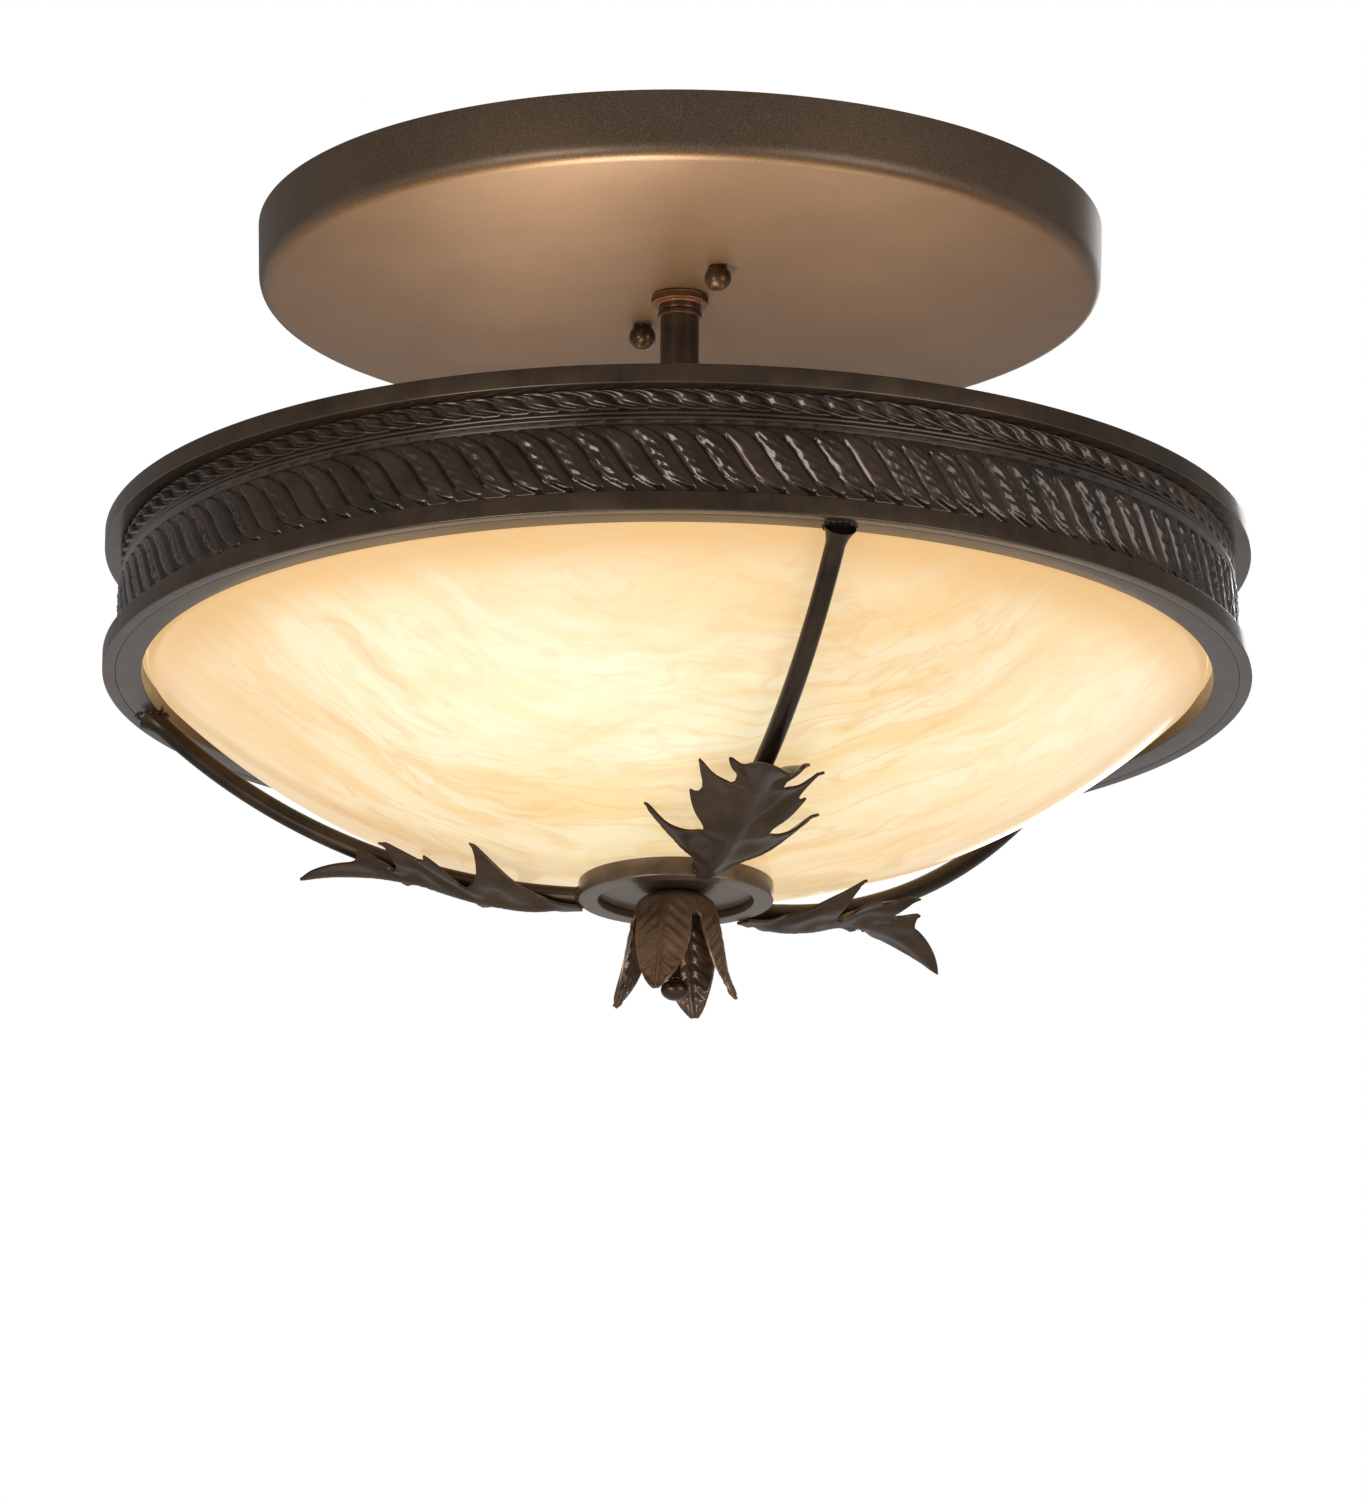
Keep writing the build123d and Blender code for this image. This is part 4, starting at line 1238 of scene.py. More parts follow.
@dataclass
class Lamp:
    """One lamp: arm, ribbed socket, screw shell, contact and bulb.

    Its own pieces are made along Z and then laid on the lamp's axis.
    """

    shop: Shop
    number: int
    azimuth: float
    tilt: float = 38.0
    common_level: float = -110.0
    socket_start: float = 46.0
    socket_radius: float = 19.0
    socket_back: float = 10.0
    socket_bore: float = 14.0
    mouth: float = 84.9
    rib_count: int = 24
    rib_share: float = 0.45
    bulb_neck: float = 13.6
    bulb_radius: float = 30.0
    bulb_length: float = 86.0
    glass: float = 1.0
    light_power: float = 1.0
    light_colour: Point3 = (1.0, 0.86, 0.70)

    def on_axis(self) -> Matrix:
        """Lays a shape made along +Z on the lamp's axis."""
        lift = Matrix.Translation((0, 0, self.common_level * MM))
        return turn_to(self.azimuth) @ lift @ Matrix.Rotation(radians(90 + self.tilt), 4, "Y")

    def socket(self) -> None:
        """The moulded socket with its ribs."""
        radius = self.socket_radius - 0.7
        bottom = self.socket_start
        floor_level = bottom + self.socket_back
        outline = rounded(
            (0, bottom), (radius - 5, bottom, 1.0), (radius - 3, bottom + 1.5, 1.0),
            (radius, bottom + 4, 2.0), (radius, self.mouth - 7, 0.4),
            (self.socket_radius, self.mouth - 6.4, 0.4), (self.socket_radius, self.mouth, 0.8),
            (self.socket_bore, self.mouth, 0.3), (self.socket_bore, floor_level), (0, floor_level),
        )
        shell = lathe(f"socket_{self.number}_moulded", outline, 72)
        moved(shell, self.on_axis())
        fit(painted(shell, PHENOLIC), Body.CEILING_SIDE, Slot.SOCKET, f"socket_{self.number}")
        self.ribs(radius, bottom + 5, self.mouth - 7.5)

    def ribs(self, radius: float, low: float, high: float) -> None:
        """Ribs round the socket between two levels along its axis."""
        section = rounded(
            (radius - 0.4, low), (radius + 0.5, low + 1.2, 0.5),
            (radius + 0.5, high - 1.2, 0.5), (radius - 0.4, high), steps=2,
        )
        sweep = self.rib_share * 360 / self.rib_count

        def rib(share: float) -> list[Point]:
            """The rib's outline, lower at its two sides."""
            drop = 0.5 * (2 * share - 1) ** 2
            return [(r - drop, z) for r, z in section]

        module = sector("rib", rib, sweep, 4)
        cap = bmesh.new()
        cap.from_mesh(module.data)
        bmesh.ops.holes_fill(cap, edges=[edge for edge in cap.edges if edge.is_boundary])
        cap.to_mesh(module.data)
        cap.free()
        ribs = self.shop.ringed(module, f"socket_{self.number}_ribs", self.rib_count, PHENOLIC)
        moved(ribs, self.on_axis())
        fit(ribs, Body.CEILING_SIDE, Slot.SOCKET)

    def bulb(self) -> None:
        """The frosted glass and the soft light inside it."""
        crown = self.mouth + self.bulb_length
        belly = crown - self.bulb_radius
        knots = [
            (self.bulb_neck, self.mouth), (self.bulb_neck + 0.6, self.mouth + 10),
            (self.bulb_radius * 0.82, belly - 20), (self.bulb_radius, belly),
        ]
        outside = smooth_line(knots, 8)[:-1] + arc((0, belly), self.bulb_radius, 0, 90, 16)
        inside = [(0.0, crown - self.glass)]
        for radius, height in reversed(outside[:-1]):
            inside.append((max(radius - self.glass, 0.0), height - (self.glass if height > belly else 0)))
        glass = lathe(f"bulb_{self.number}_frosted", [*outside[:-1], (0.0, crown), *inside], 64)
        moved(glass, self.on_axis())
        painted(glass, LAMP_GLASS)
        glass.visible_shadow = False
        fit(glass, Body[f"BULB_{self.number}"], Slot.LAMP_GLASS, f"bulb_glass_{self.number}")
        light = bpy.data.lights.new(f"bulb_{self.number}_light", "POINT")
        light.energy = self.light_power
        light.color = self.light_colour
        light.shadow_soft_size = 0.9 * self.bulb_radius * MM
        lamp = bpy.data.objects.new(light.name, light)
        lamp.matrix_world = self.on_axis() @ Matrix.Translation((0, 0, belly * MM))
        bpy.context.scene.collection.objects.link(lamp)

    def build(self) -> None:
        """Builds the lamp."""
        self.socket()
        self.bulb()
        keep_node(f"socket_arm_{self.number}", STEM_BRONZE)
        keep_node(f"screw_shell_{self.number}", BRASS)
        keep_node(f"contact_{self.number}", BRASS)
        keep_node(f"bulb_base_{self.number}", LAMP_METAL)


@dataclass
class OrnamentedRing:
    """Two square hoops, the band of gadroons, beads and rope between them, and the bowl's rest ring.

    Attributes:
        relief_depth: how far the band's ground lies inside the hoops.
        plate: height of the plain zone between the lobes.
        modules: how many slices make the band, each of so many lobes and strands.
        pitch_columns: columns of points across one lobe.
        lobe_ends: shares of the zone's height between which the lobes lie.
        leaflets: how many leaf points a leafy lobe carries.
        leafiness: how leafy each lobe of a slice is.
        rope_beads: (share of the pitch, share of the height) of the small beads between the strands.
    """

    shop: Shop
    upper_width: float = 12.7
    lower_width: float = 6.35
    rest_lap: float = 6.2
    edge: float = 0.8
    seam: float = 0.55
    relief_depth: float = 10.0
    band_sheet: float = 1.2
    relief_corner: float = 75.0
    modules: int = 30
    pitch_columns: int = 14
    gadroon_rows: int = 36
    gadroon_height: float = 34.0
    gadroon_bulge: float = 4.0
    plate: float = 1.4
    margin: float = 1.5
    bead_height: float = 2.5
    bead_bulge: float = 2.2
    rope_height: float = 9.0
    rope_bulge: float = 2.6
    rope_rows: int = 18
    strand_width: float = 0.37
    rope_beads: tuple[Point, ...] = ((0.16, 0.86), (0.72, 0.14))
    lobes: int = 4
    lobe_ends: tuple[float, float] = (0.07, 0.95)
    lobe_width: float = 0.44
    groove: float = 0.45
    midrib_cut: float = 0.55
    back_steps: int = 4
    gadroon_lean: float = 2.1
    gadroon_sway: float = 0.3
    rope_lean: float = 1.75
    rope_sway: float = 0.8
    leaflets: float = 5.0
    leafiness: tuple[float, ...] = (1.0, 0.3, 0.9, 0.55)

    @cached_property
    def ground(self) -> float:
        """Radius of the band between its forms."""
        return Room.of("upper_hoop").reach - self.relief_depth

    @cached_property
    def back(self) -> float:
        """Radius of the band's plain back."""
        return self.ground - self.band_sheet

    def hoops(self) -> None:
        """The two hoops and the rest ring, with a fine seam where two of them meet."""
        for hoop, width in (("upper_hoop", self.upper_width), ("lower_hoop", self.lower_width)):
            room = Room.of(hoop)
            inner = room.reach - width
            outline = rounded(
                (inner, room.foot, self.seam), (room.reach, room.foot, self.edge),
                (room.reach, room.top, self.edge), (inner, room.top, self.seam),
            )
            fit_turned(f"{hoop}_rolled", outline, 360, RING_BRONZE, Body.CAGE, Slot.BRONZE, hoop)
        rest = Room.of("bowl_rest_ring")
        inner = Room.of("glass_bowl").reach - self.rest_lap
        outline = rounded(
            (inner, rest.foot, 0.6), (rest.reach, rest.foot, self.seam),
            (rest.reach, rest.top), (inner, rest.top, 0.4),
        )
        fit_turned(
            "bowl_rest_ring_rolled", outline, 360, RING_BRONZE, Body.CAGE, Slot.BRONZE, "bowl_rest_ring"
        )

    def run(self, height: float, lean: float, sway: float) -> float:
        """How many forms the relief has run to the right at a share of its zone's height.

        Args:
            height: share of the zone's height, from its foot.
            lean: forms that it runs over the whole height.
            sway: how far it swings like an S on its way, or 0 for a straight line.
        """
        fall = 1 - height
        return lean * (fall + sway * sin(2 * pi * fall) / (2 * pi))

    def lobe(self, place: float, height: float) -> float:
        """Relief of the gadroon zone in millimetres.

        Args:
            place: position across the leaning lobes, in lobes.
            height: share of the zone's height, from its foot.

        Returns:
            How far the surface stands out of the ground.
        """
        number = floor(place) % self.lobes
        share = place % 1.0
        low, high = self.lobe_ends
        span = (height - low) / (high - low)
        level = self.plate * eased(0.0, 0.03, min(height, 1 - height))
        if not 0 < span < 1:
            return level
        end = min(min(span, 1 - span) / 0.2, 1.0)
        round_end = sqrt(1 - (1 - end) ** 2)
        side = (share - 0.5) / max(self.lobe_width * round_end, 0.02)
        level -= self.groove * bell_curve(abs(side) - 1.06, 0.09) * round_end
        if abs(side) < 1:
            roll = sqrt(1 - side**2) * sqrt(round_end)
            leafy = self.leafiness[number]
            flank = leafy * (1 - eased(-0.35, 0.6, side))
            swing = self.leaflets * height + 0.9 * side + 0.4 * sin(5.3 * number + 6 * height)
            crumple = sin(14 * height + 4.1 * side + 2.3 * number)
            crumple *= cos(25 * height - 6 * side + 1.7 * number)
            level += (self.gadroon_bulge - self.plate) * 0.8 * roll**0.6 - 0.35 * flank
            level += flank * roll * (0.46 * cos(2 * pi * swing) + 0.42 * crumple)
            level -= self.midrib_cut * leafy * bell_curve(side - 0.3, 0.12) * end
        return level

    def strand(self, place: float, height: float) -> float:
        """Relief of the rope zone at a position across its leaning strands and a share of its height."""
        share = place % 1.0
        end = min(min(height, 1 - height) / 0.34, 1.0)
        round_end = sqrt(1 - (1 - end) ** 2)
        side = (share - 0.5) / max(self.strand_width * round_end, 0.02)
        roll = sqrt((1 - side**2) * round_end) if abs(side) < 1 else 0.0
        level = self.rope_bulge * 0.8 * roll - 0.25 * bell_curve(side - 0.35, 0.12) * roll
        upright = place + self.run(height, self.rope_lean, self.rope_sway)
        for middle, at in self.rope_beads:
            off = abs((upright - middle + 0.5) % 1.0 - 0.5)
            level = max(level, 0.9 * bell_curve(hypot(off * 14, (height - at) * 9), 0.75))
        frame_line = 0.6 * bell_curve(min(height, 1 - height) * self.rope_height, 0.55)
        return max(level, frame_line)

    def back_wall(self, foot: float, top: float) -> list[Point]:
        """Points down the band's plain back, close enough for a slice with turned levels to stay round."""
        steps = self.back_steps
        return [(self.back, top + (foot - top) * step / steps) for step in range(steps + 1)]

    def fit_relief(
        self, name: str, section: Section, foot: float, rise: float, lean: float, sway: float
    ) -> None:
        """Turns the levels of one slice so that its columns follow the forms, then repeats the slice.

        Args:
            name: the piece's name.
            section: the closed outline at a share of the slice.
            foot: lowest level of the leaning forms.
            rise: their height.
            lean: forms that they run to the right over this height.
            sway: how far they swing like an S.
        """
        module = sector("slice", section, 360 / self.modules, self.lobes * self.pitch_columns)
        pitch = radians(360 / self.modules / self.lobes)
        for vertex in module.data.vertices:
            height = min(max((vertex.co.z / MM - foot) / rise, 0.0), 1.0)
            vertex.co = Matrix.Rotation(pitch * self.run(height, lean, sway), 3, "Z") @ vertex.co
        piece = self.shop.ringed(module, name, self.modules, RELIEF_BRONZE)
        piece.data.set_sharp_from_angle(angle=radians(self.relief_corner))
        fit(piece, Body.CAGE, Slot.BRONZE, "embossed_band")

    def band(self) -> None:
        """The lower part of the band: gadroons under two beads."""
        foot = Room.of("bowl_rest_ring").top
        zone_foot = foot + self.margin
        zone_top = zone_foot + self.gadroon_height
        bead_foot = zone_top + self.margin
        border = bead_foot + 2 * self.bead_height

        def section(share: float) -> list[Point]:
            """The band's closed outline at a share of a slice."""
            points = [*self.back_wall(foot, border), (self.ground, foot), (self.ground, zone_foot - 0.5)]
            for row in range(self.gadroon_rows + 1):
                height = row / self.gadroon_rows
                level = self.lobe(self.lobes * share, height)
                points.append((self.ground + level, zone_foot + height * self.gadroon_height))
            for number in range(2):
                middle = (self.ground, bead_foot + (number + 0.5) * self.bead_height)
                bulge = self.bead_bulge * (1.0 - 0.35 * number)
                for step in range(1, 7):
                    angle = pi * (step / 7 - 0.5)
                    height = middle[1] + self.bead_height / 2 * sin(angle)
                    points.append((middle[0] + bulge * cos(angle), height))
            points.append((self.ground, border))
            return points

        self.fit_relief(
            "embossed_band_gadroons", section, zone_foot, self.gadroon_height,
            self.gadroon_lean, self.gadroon_sway,
        )

    def rope(self) -> None:
        """The upper part of the band: the running rope between its two lines."""
        top = Room.of("embossed_band").top
        foot = top - self.rope_height
        beads_foot = Room.of("bowl_rest_ring").top + 2 * self.margin + self.gadroon_height
        border = beads_foot + 2 * self.bead_height

        def section(share: float) -> list[Point]:
            """The border's closed outline at a share of a slice."""
            points = [*self.back_wall(border, top), (self.ground, border)]
            for row in range(self.rope_rows + 1):
                height = row / self.rope_rows
                level = self.strand(self.lobes * share, height)
                points.append((self.ground + level, foot + height * self.rope_height))
            return points

        self.fit_relief(
            "embossed_band_rope", section, foot, self.rope_height, self.rope_lean, self.rope_sway
        )

    def build(self) -> None:
        """Builds the ring's pieces."""
        self.hoops()
        self.band()
        self.rope()


@dataclass
class GlassBowl:
    """The shallow bowl of marbled glass with its out-turned lip, and its two soft rings."""

    shoulder: float = 13.0
    wall: float = 5.0
    lip_overhang: float = 8.5
    lip_height: float = 5.0
    hole: float = 6.5

    def skin(self, inset: float, foot: float, shoulder_at: Point) -> list[Point]:
        """One skin of the bowl from the hole to the top of the shoulder.

        Args:
            inset: distance in from the outer skin.
            foot: the outer skin's lowest level.
            shoulder_at: (radius, height) of the centre of the shoulder's curve.

        Returns:
            The skin's (radius, height) points.
        """
        reach, rise = shoulder_at[0], shoulder_at[1] - foot
        round_of_bowl = (reach**2 + rise**2 - self.shoulder**2) / (2 * (rise - self.shoulder))
        centre = foot + round_of_bowl
        low = atan2(shoulder_at[1] - centre, reach) * 180 / pi
        sphere = round_of_bowl - inset
        start = -acos(self.hole / sphere) * 180 / pi
        points = arc((0, centre), sphere, start, low, 56)
        return points + arc(shoulder_at, self.shoulder - inset, low, 0, 14)[1:]

    def build(self) -> None:
        """Builds the bowl and dresses its soft rings."""
        room = Room.of("glass_bowl")
        wall_radius = room.reach - self.lip_overhang
        lip_foot = room.top - self.lip_height
        shoulder_at = (wall_radius - self.shoulder, lip_foot)
        outer = self.skin(0, room.foot, shoulder_at)
        inner = self.skin(self.wall, room.foot, shoulder_at)
        mouth = wall_radius - self.wall
        lip = rounded(
            (wall_radius, lip_foot, 1.0), (room.reach, lip_foot, 1.6), (room.reach, room.top, 1.6),
            (mouth, room.top, 1.6), (mouth, inner[-1][1]), outer[-1], steps=5,
        )[:-2]
        outline = [*outer, *lip, *reversed(inner)]
        fit_turned("glass_bowl_slumped", outline, 320, BOWL_GLASS, Body.CAGE, Slot.BOWL, "glass_bowl")
        keep_node("rim_gasket", SEAL)
        keep_node("bowl_gasket", SEAL)


@dataclass
class Hub:
    """The ring and disc under the bowl where the arms meet."""

    width: float = 9.5
    edge: float = 0.8
    disc_hole: float = 5.4

    def build(self) -> None:
        """Builds the ring and the disc."""
        room = Room.of("hub_ring")
        inner = room.reach - self.width
        outline = rounded(
            (inner, room.foot, 0.5), (room.reach, room.foot, self.edge), (room.reach, room.top, self.edge),
            (inner, room.top, 0.5),
        )
        # The hub's bronze is painted lighter, as painted light and reflection.
        fit_turned("hub_ring_rolled", outline, 160, HUB_PAINTED_LIGHT_BRONZE, Body.CAGE, Slot.BRONZE, "hub_ring")
        disc = Room.of("hub_disc")
        outline = rounded(
            (self.disc_hole, disc.foot, 0.3), (inner - 1.4, disc.foot, 0.3),
            (inner - 0.9, disc.foot + 0.9, 0.3), (inner, disc.foot + 0.9),
            (inner, disc.top), (self.disc_hole, disc.top),
        )
        fit_turned("hub_disc_turned", outline, 160, HUB_PAINTED_LIGHT_BRONZE, Body.CAGE, Slot.BRONZE, "hub_disc")


@dataclass
class ArmLine:
    """The arms' line in (radius, height): one arc from the hub up to the ring."""

    radius: float = 4.7625
    hub_reach: float = 47.2
    hub_lift: float = 5.0
    hub_slope: float = 5.7
    top_inset: float = 13.4

    @cached_property
    def ends(self) -> tuple[Point, Point]:
        """Start at the hub and top under the ring."""
        ring = Room.of("lower_hoop")
        start = (self.hub_reach, Room.of("hub_ring").foot + self.hub_lift)
        return start, (ring.reach - self.top_inset, ring.foot)

    @cached_property
    def bend(self) -> tuple[Point, float]:
        """Centre and radius of the arc."""
        start, top = self.ends
        slope = radians(self.hub_slope)
        half_turn = atan2(top[1] - start[1], top[0] - start[0]) - slope
        radius = hypot(top[0] - start[0], top[1] - start[1]) / (2 * sin(half_turn))
        return (start[0] - radius * sin(slope), start[1] + radius * cos(slope)), radius

    def level(self, reach: float) -> float:
        """Height of the arm's axis at a distance from the light's axis."""
        centre, radius = self.bend
        return centre[1] - sqrt(max(radius**2 - (reach - centre[0]) ** 2, 0.0))

    def slope(self, reach: float) -> float:
        """Rise of the arm's axis for each millimetre outwards."""
        centre, radius = self.bend
        return (reach - centre[0]) / sqrt(radius**2 - (reach - centre[0]) ** 2)

    def points(self) -> list[Point3]:
        """The line from inside the hub ring to the underside of the ring."""
        top = self.ends[1]
        start = self.hub_reach - 2.0
        count = 72
        line = []
        for step in range(count + 1):
            reach = start + (top[0] - start) * step / count
            line.append((reach, 0.0, self.level(reach)))
        line[-1] = (top[0], 0.0, top[1] - 0.05)
        return line


@dataclass
class OakLeaf:
    """A lobed oak leaf of folded sheet metal under an arm.

    Attributes:
        arm: the line of the arm above.
        side: front, left or right.
        azimuth: where the leaf points.
        grip: how far from its root it lies along the arm.
        rise: how far its tip would stand above the end of the grip without its curl.
        tip_drop: how far its tip curls down.
        veins: (start, end) of each side vein on one half, as (from the root, from the midrib).
        notches: where the sheet is ridged behind the cuts between its lobes.
        hollows: where it is pressed up between two veins.
    """

    arm: ArmLine
    side: str
    azimuth: float
    grip: float
    rise: float
    tip_drop: float
    sheet: float = 1.5
    length: float = 142.0
    half_width: float = 44.0
    dish: float = 17.0
    belly: float = 2.0
    belly_length: float = 78.0
    curl_length: float = 38.0
    gap: float = 0.3
    grid: float = 2.1
    grid_half_columns: int = 24
    edge_margin: float = 1.0
    veins: tuple[tuple[Point, Point], ...] = (
        ((12.0, 0.0), (43.0, 40.0)), ((50.0, 0.0), (90.0, 29.0)), ((84.0, 0.0), (106.0, 18.0)),
    )
    notches: tuple[Point, ...] = ((53.0, 15.0), (91.0, 12.0))
    hollows: tuple[Point, ...] = ((40.0, 10.0), (80.0, 9.0))
    vein_ridge: float = 2.6
    notch_ridge: float = 1.7
    hollow_rise: float = 2.6
    midrib_cut: float = 1.6
    edge_flutter: float = 0.9

    def half_outline(self) -> list[Point]:
        """Half of the leaf's edge from stalk to tip, as (from the root, from the midrib)."""
        bends = [
            ((11.0, 5.5), (20.0, 15.0)), ((31.0, 30.0), (45.0, 44.0)), ((42.0, 27.0), (51.0, 17.5)),
            ((54.5, 14.0), (58.5, 19.5)), ((62.0, 25.0), (71.5, 29.0)), ((71.0, 25.0), (75.5, 24.5)),
            ((83.0, 27.0), (94.0, 31.5)), ((86.0, 20.0), (89.5, 14.0)), ((92.0, 10.5), (96.0, 14.5)),
            ((100.0, 18.5), (108.5, 20.0)), ((107.0, 15.0), (113.0, 12.5)), ((129.0, 10.0), (142.0, 0.0)),
        ]
        here = (0.0, 4.0)
        points = [here]
        for pull, end in bends:
            steps = max(3, int(hypot(end[0] - here[0], end[1] - here[1]) / 1.6))
            for step in range(1, steps + 1):
                t = step / steps
                spot = []
                for axis in (0, 1):
                    bend = pull[axis] * 2 * t * (1 - t)
                    spot.append(here[axis] * (1 - t) ** 2 + bend + end[axis] * t**2)
                points.append(tuple(spot))
            here = end
        return points

    def outline(self) -> list[Point]:
        """The whole edge, with its left half a little fuller than its right."""
        right = self.half_outline()
        left = [(x + 1.8 * sin(x / 11.0) * min(y / 12, 1), -y * 0.97) for x, y in right[:-1]]
        return [*right, *reversed(left)]

    def vein_distance(self, x: float, y: float) -> float:
        """Distance to the nearest side vein."""
        nearest = self.length
        for start, tip in self.veins:
            a, b, spot = Vector(start), Vector(tip), Vector((x, abs(y)))
            share = min(max((spot - a).dot(b - a) / (b - a).length_squared, 0.0), 1.0)
            nearest = min(nearest, (spot - a - (b - a) * share).length)
        return nearest

    def level(self, x: float, y: float) -> float:
        """Height of the leaf's upper face at x from the root and y from the midrib."""
        under_arm = self.arm.level(self.arm.hub_reach + min(x, self.grip)) - self.arm.radius - self.gap
        free_length = self.length - self.grip
        free = max(x - self.grip, 0.0) / free_length
        start = self.arm.slope(self.arm.hub_reach + self.grip) * free_length
        line = under_arm + start * free + (self.rise - start) * free**2
        along = min(max(x / self.belly_length, 0.0), 1.0)
        sag = self.belly * sin(pi * along) ** 2
        curl = max(x - (self.length - self.curl_length), 0.0) / self.curl_length
        rise = self.dish * (y / self.half_width) ** 2
        fold = self.vein_ridge * bell_curve(self.vein_distance(x, y), 3.2) * eased(2.0, 10.0, abs(y))
        for notch_x, notch_y in self.notches:
            across = (x - notch_x + 0.5 * (notch_y - abs(y))) * 1.6
            fold -= self.notch_ridge * bell_curve(hypot(across, (abs(y) - notch_y) * 0.7), 5.0)
        hollow = 0.0
        for spot_x, spot_y in self.hollows:
            hollow += self.hollow_rise * bell_curve(hypot(x - spot_x, abs(y) - spot_y), 7.0)
        midrib = -self.midrib_cut * bell_curve(abs(y), 3.2) * eased(6.0, 24.0, x)
        wave = sin(x / 5.5 + (0.8 if y > 0 else 2.1))
        flutter = self.edge_flutter * wave * eased(10.0, 30.0, abs(y))
        return line - sag - self.tip_drop * curl**2 + rise + fold + hollow + midrib + flutter

    def build(self) -> None:
        """Fills the outline with points, folds the sheet and gives it its thickness."""
        edge = self.outline()
        rows = int(self.length / self.grid)
        spots: list[Point] = []
        for row in range(rows + 1):
            for column in range(-self.grid_half_columns, self.grid_half_columns + 1):
                x = row * self.grid
                y = (column + 0.5 * (row % 2)) * self.grid * 1.1
                if inside_outline(x, y, edge, self.edge_margin):
                    spots.append((x, y))
        flat = [Vector(point) for point in [*edge, *spots]]
        found = delaunay_2d_cdt(flat, [], [list(range(len(edge)))], 1, 1e-4)
        points = [(self.arm.hub_reach + spot.x, spot.y, self.level(spot.x, spot.y)) for spot in found[0]]
        leaf = new_piece(f"oak_leaf_{self.side}", points, found[2])
        closed_up(leaf, 60.0)
        if sum(face.normal.z for face in leaf.data.polygons) < 0:
            leaf.data.flip_normals()
        thickened(leaf, self.sheet, 0.3, even=True)
        moved(leaf, turn_to(self.azimuth))
        fit(painted(leaf, LEAF_BRONZE), Body.CAGE, Slot.BRONZE, f"leaf_{self.side}")


def inside_outline(x: float, y: float, edge: Sequence[Point], margin: float) -> bool:
    """Whether a point lies inside a closed outline, at least a margin from its edge."""
    inside = False
    for number, (bx, by) in enumerate(edge):
        ax, ay = edge[number - 1]
        if (ay > y) != (by > y) and x < (bx - ax) * (y - ay) / (by - ay) + ax:
            inside = not inside
        run = (bx - ax) ** 2 + (by - ay) ** 2
        share = min(max(((x - ax) * (bx - ax) + (y - ay) * (by - ay)) / max(run, 1e-9), 0.0), 1.0)
        if hypot(x - ax - share * (bx - ax), y - ay - share * (by - ay)) < margin:
            return False
    return inside


@dataclass
class Arms:
    """The three arms, their welds and their leaves."""

    shop: Shop
    line: ArmLine
    foot_radius: float = 8.0
    foot_length: float = 7.0
    bead: float = 1.35

    def weld(self, name: str, centre: Vector, normal: Vector, radius: float, count: int, seed: int) -> None:
        """A ring of weld beads about a joint."""
        aside = Vector((0, 0, 1)) if abs(normal.z) < 0.9 else Vector((1, 0, 0))
        across = normal.cross(aside).normalized()
        up = normal.cross(across)
        line = []
        for step in range(4 * count):
            angle = 2 * pi * step / (4 * count)
            line.append(centre + (across * cos(angle) + up * sin(angle)) * radius)
        beads = self.shop.beads(name, line, count, self.bead, seed, ARM_BRONZE)
        fit(beads, Body.CAGE, Slot.BRONZE)

    def build(self) -> None:
        """Builds the arms one by one."""
        bend = self.line.points()
        start, top = self.line.ends
        leaves = (
            OakLeaf(self.line, "front", azimuth=16.3, grip=80.0, rise=3.0, tip_drop=7.0),
            OakLeaf(self.line, "left", azimuth=-103.7, grip=80.0, rise=7.0, tip_drop=0.0),
            OakLeaf(self.line, "right", azimuth=136.3, grip=60.0, rise=-3.0, tip_drop=5.0),
        )
        for seed, leaf in enumerate(leaves, start=1):
            side = leaf.side
            bar = self.shop.bar(
                f"arm_{side}_bent", bend, self.line.radius, self.foot_radius, self.foot_length, ARM_BRONZE
            )
            moved(bar, turn_to(leaf.azimuth))
            fit(bar, Body.CAGE, Slot.BRONZE, f"arm_{side}")
            outward = direction(leaf.azimuth)
            at_hub = outward * (start[0] + 0.3) + Vector((0, 0, start[1]))
            self.weld(f"hub_weld_{side}", at_hub, outward, self.line.radius * 0.98, 11, seed)
            at_ring = outward * top[0] + Vector((0, 0, top[1] + 0.2))
            self.weld(f"ring_weld_{side}", at_ring, Vector((0, 0, 1)), self.foot_radius - 0.6, 16, seed + 7)
            leaf.build()


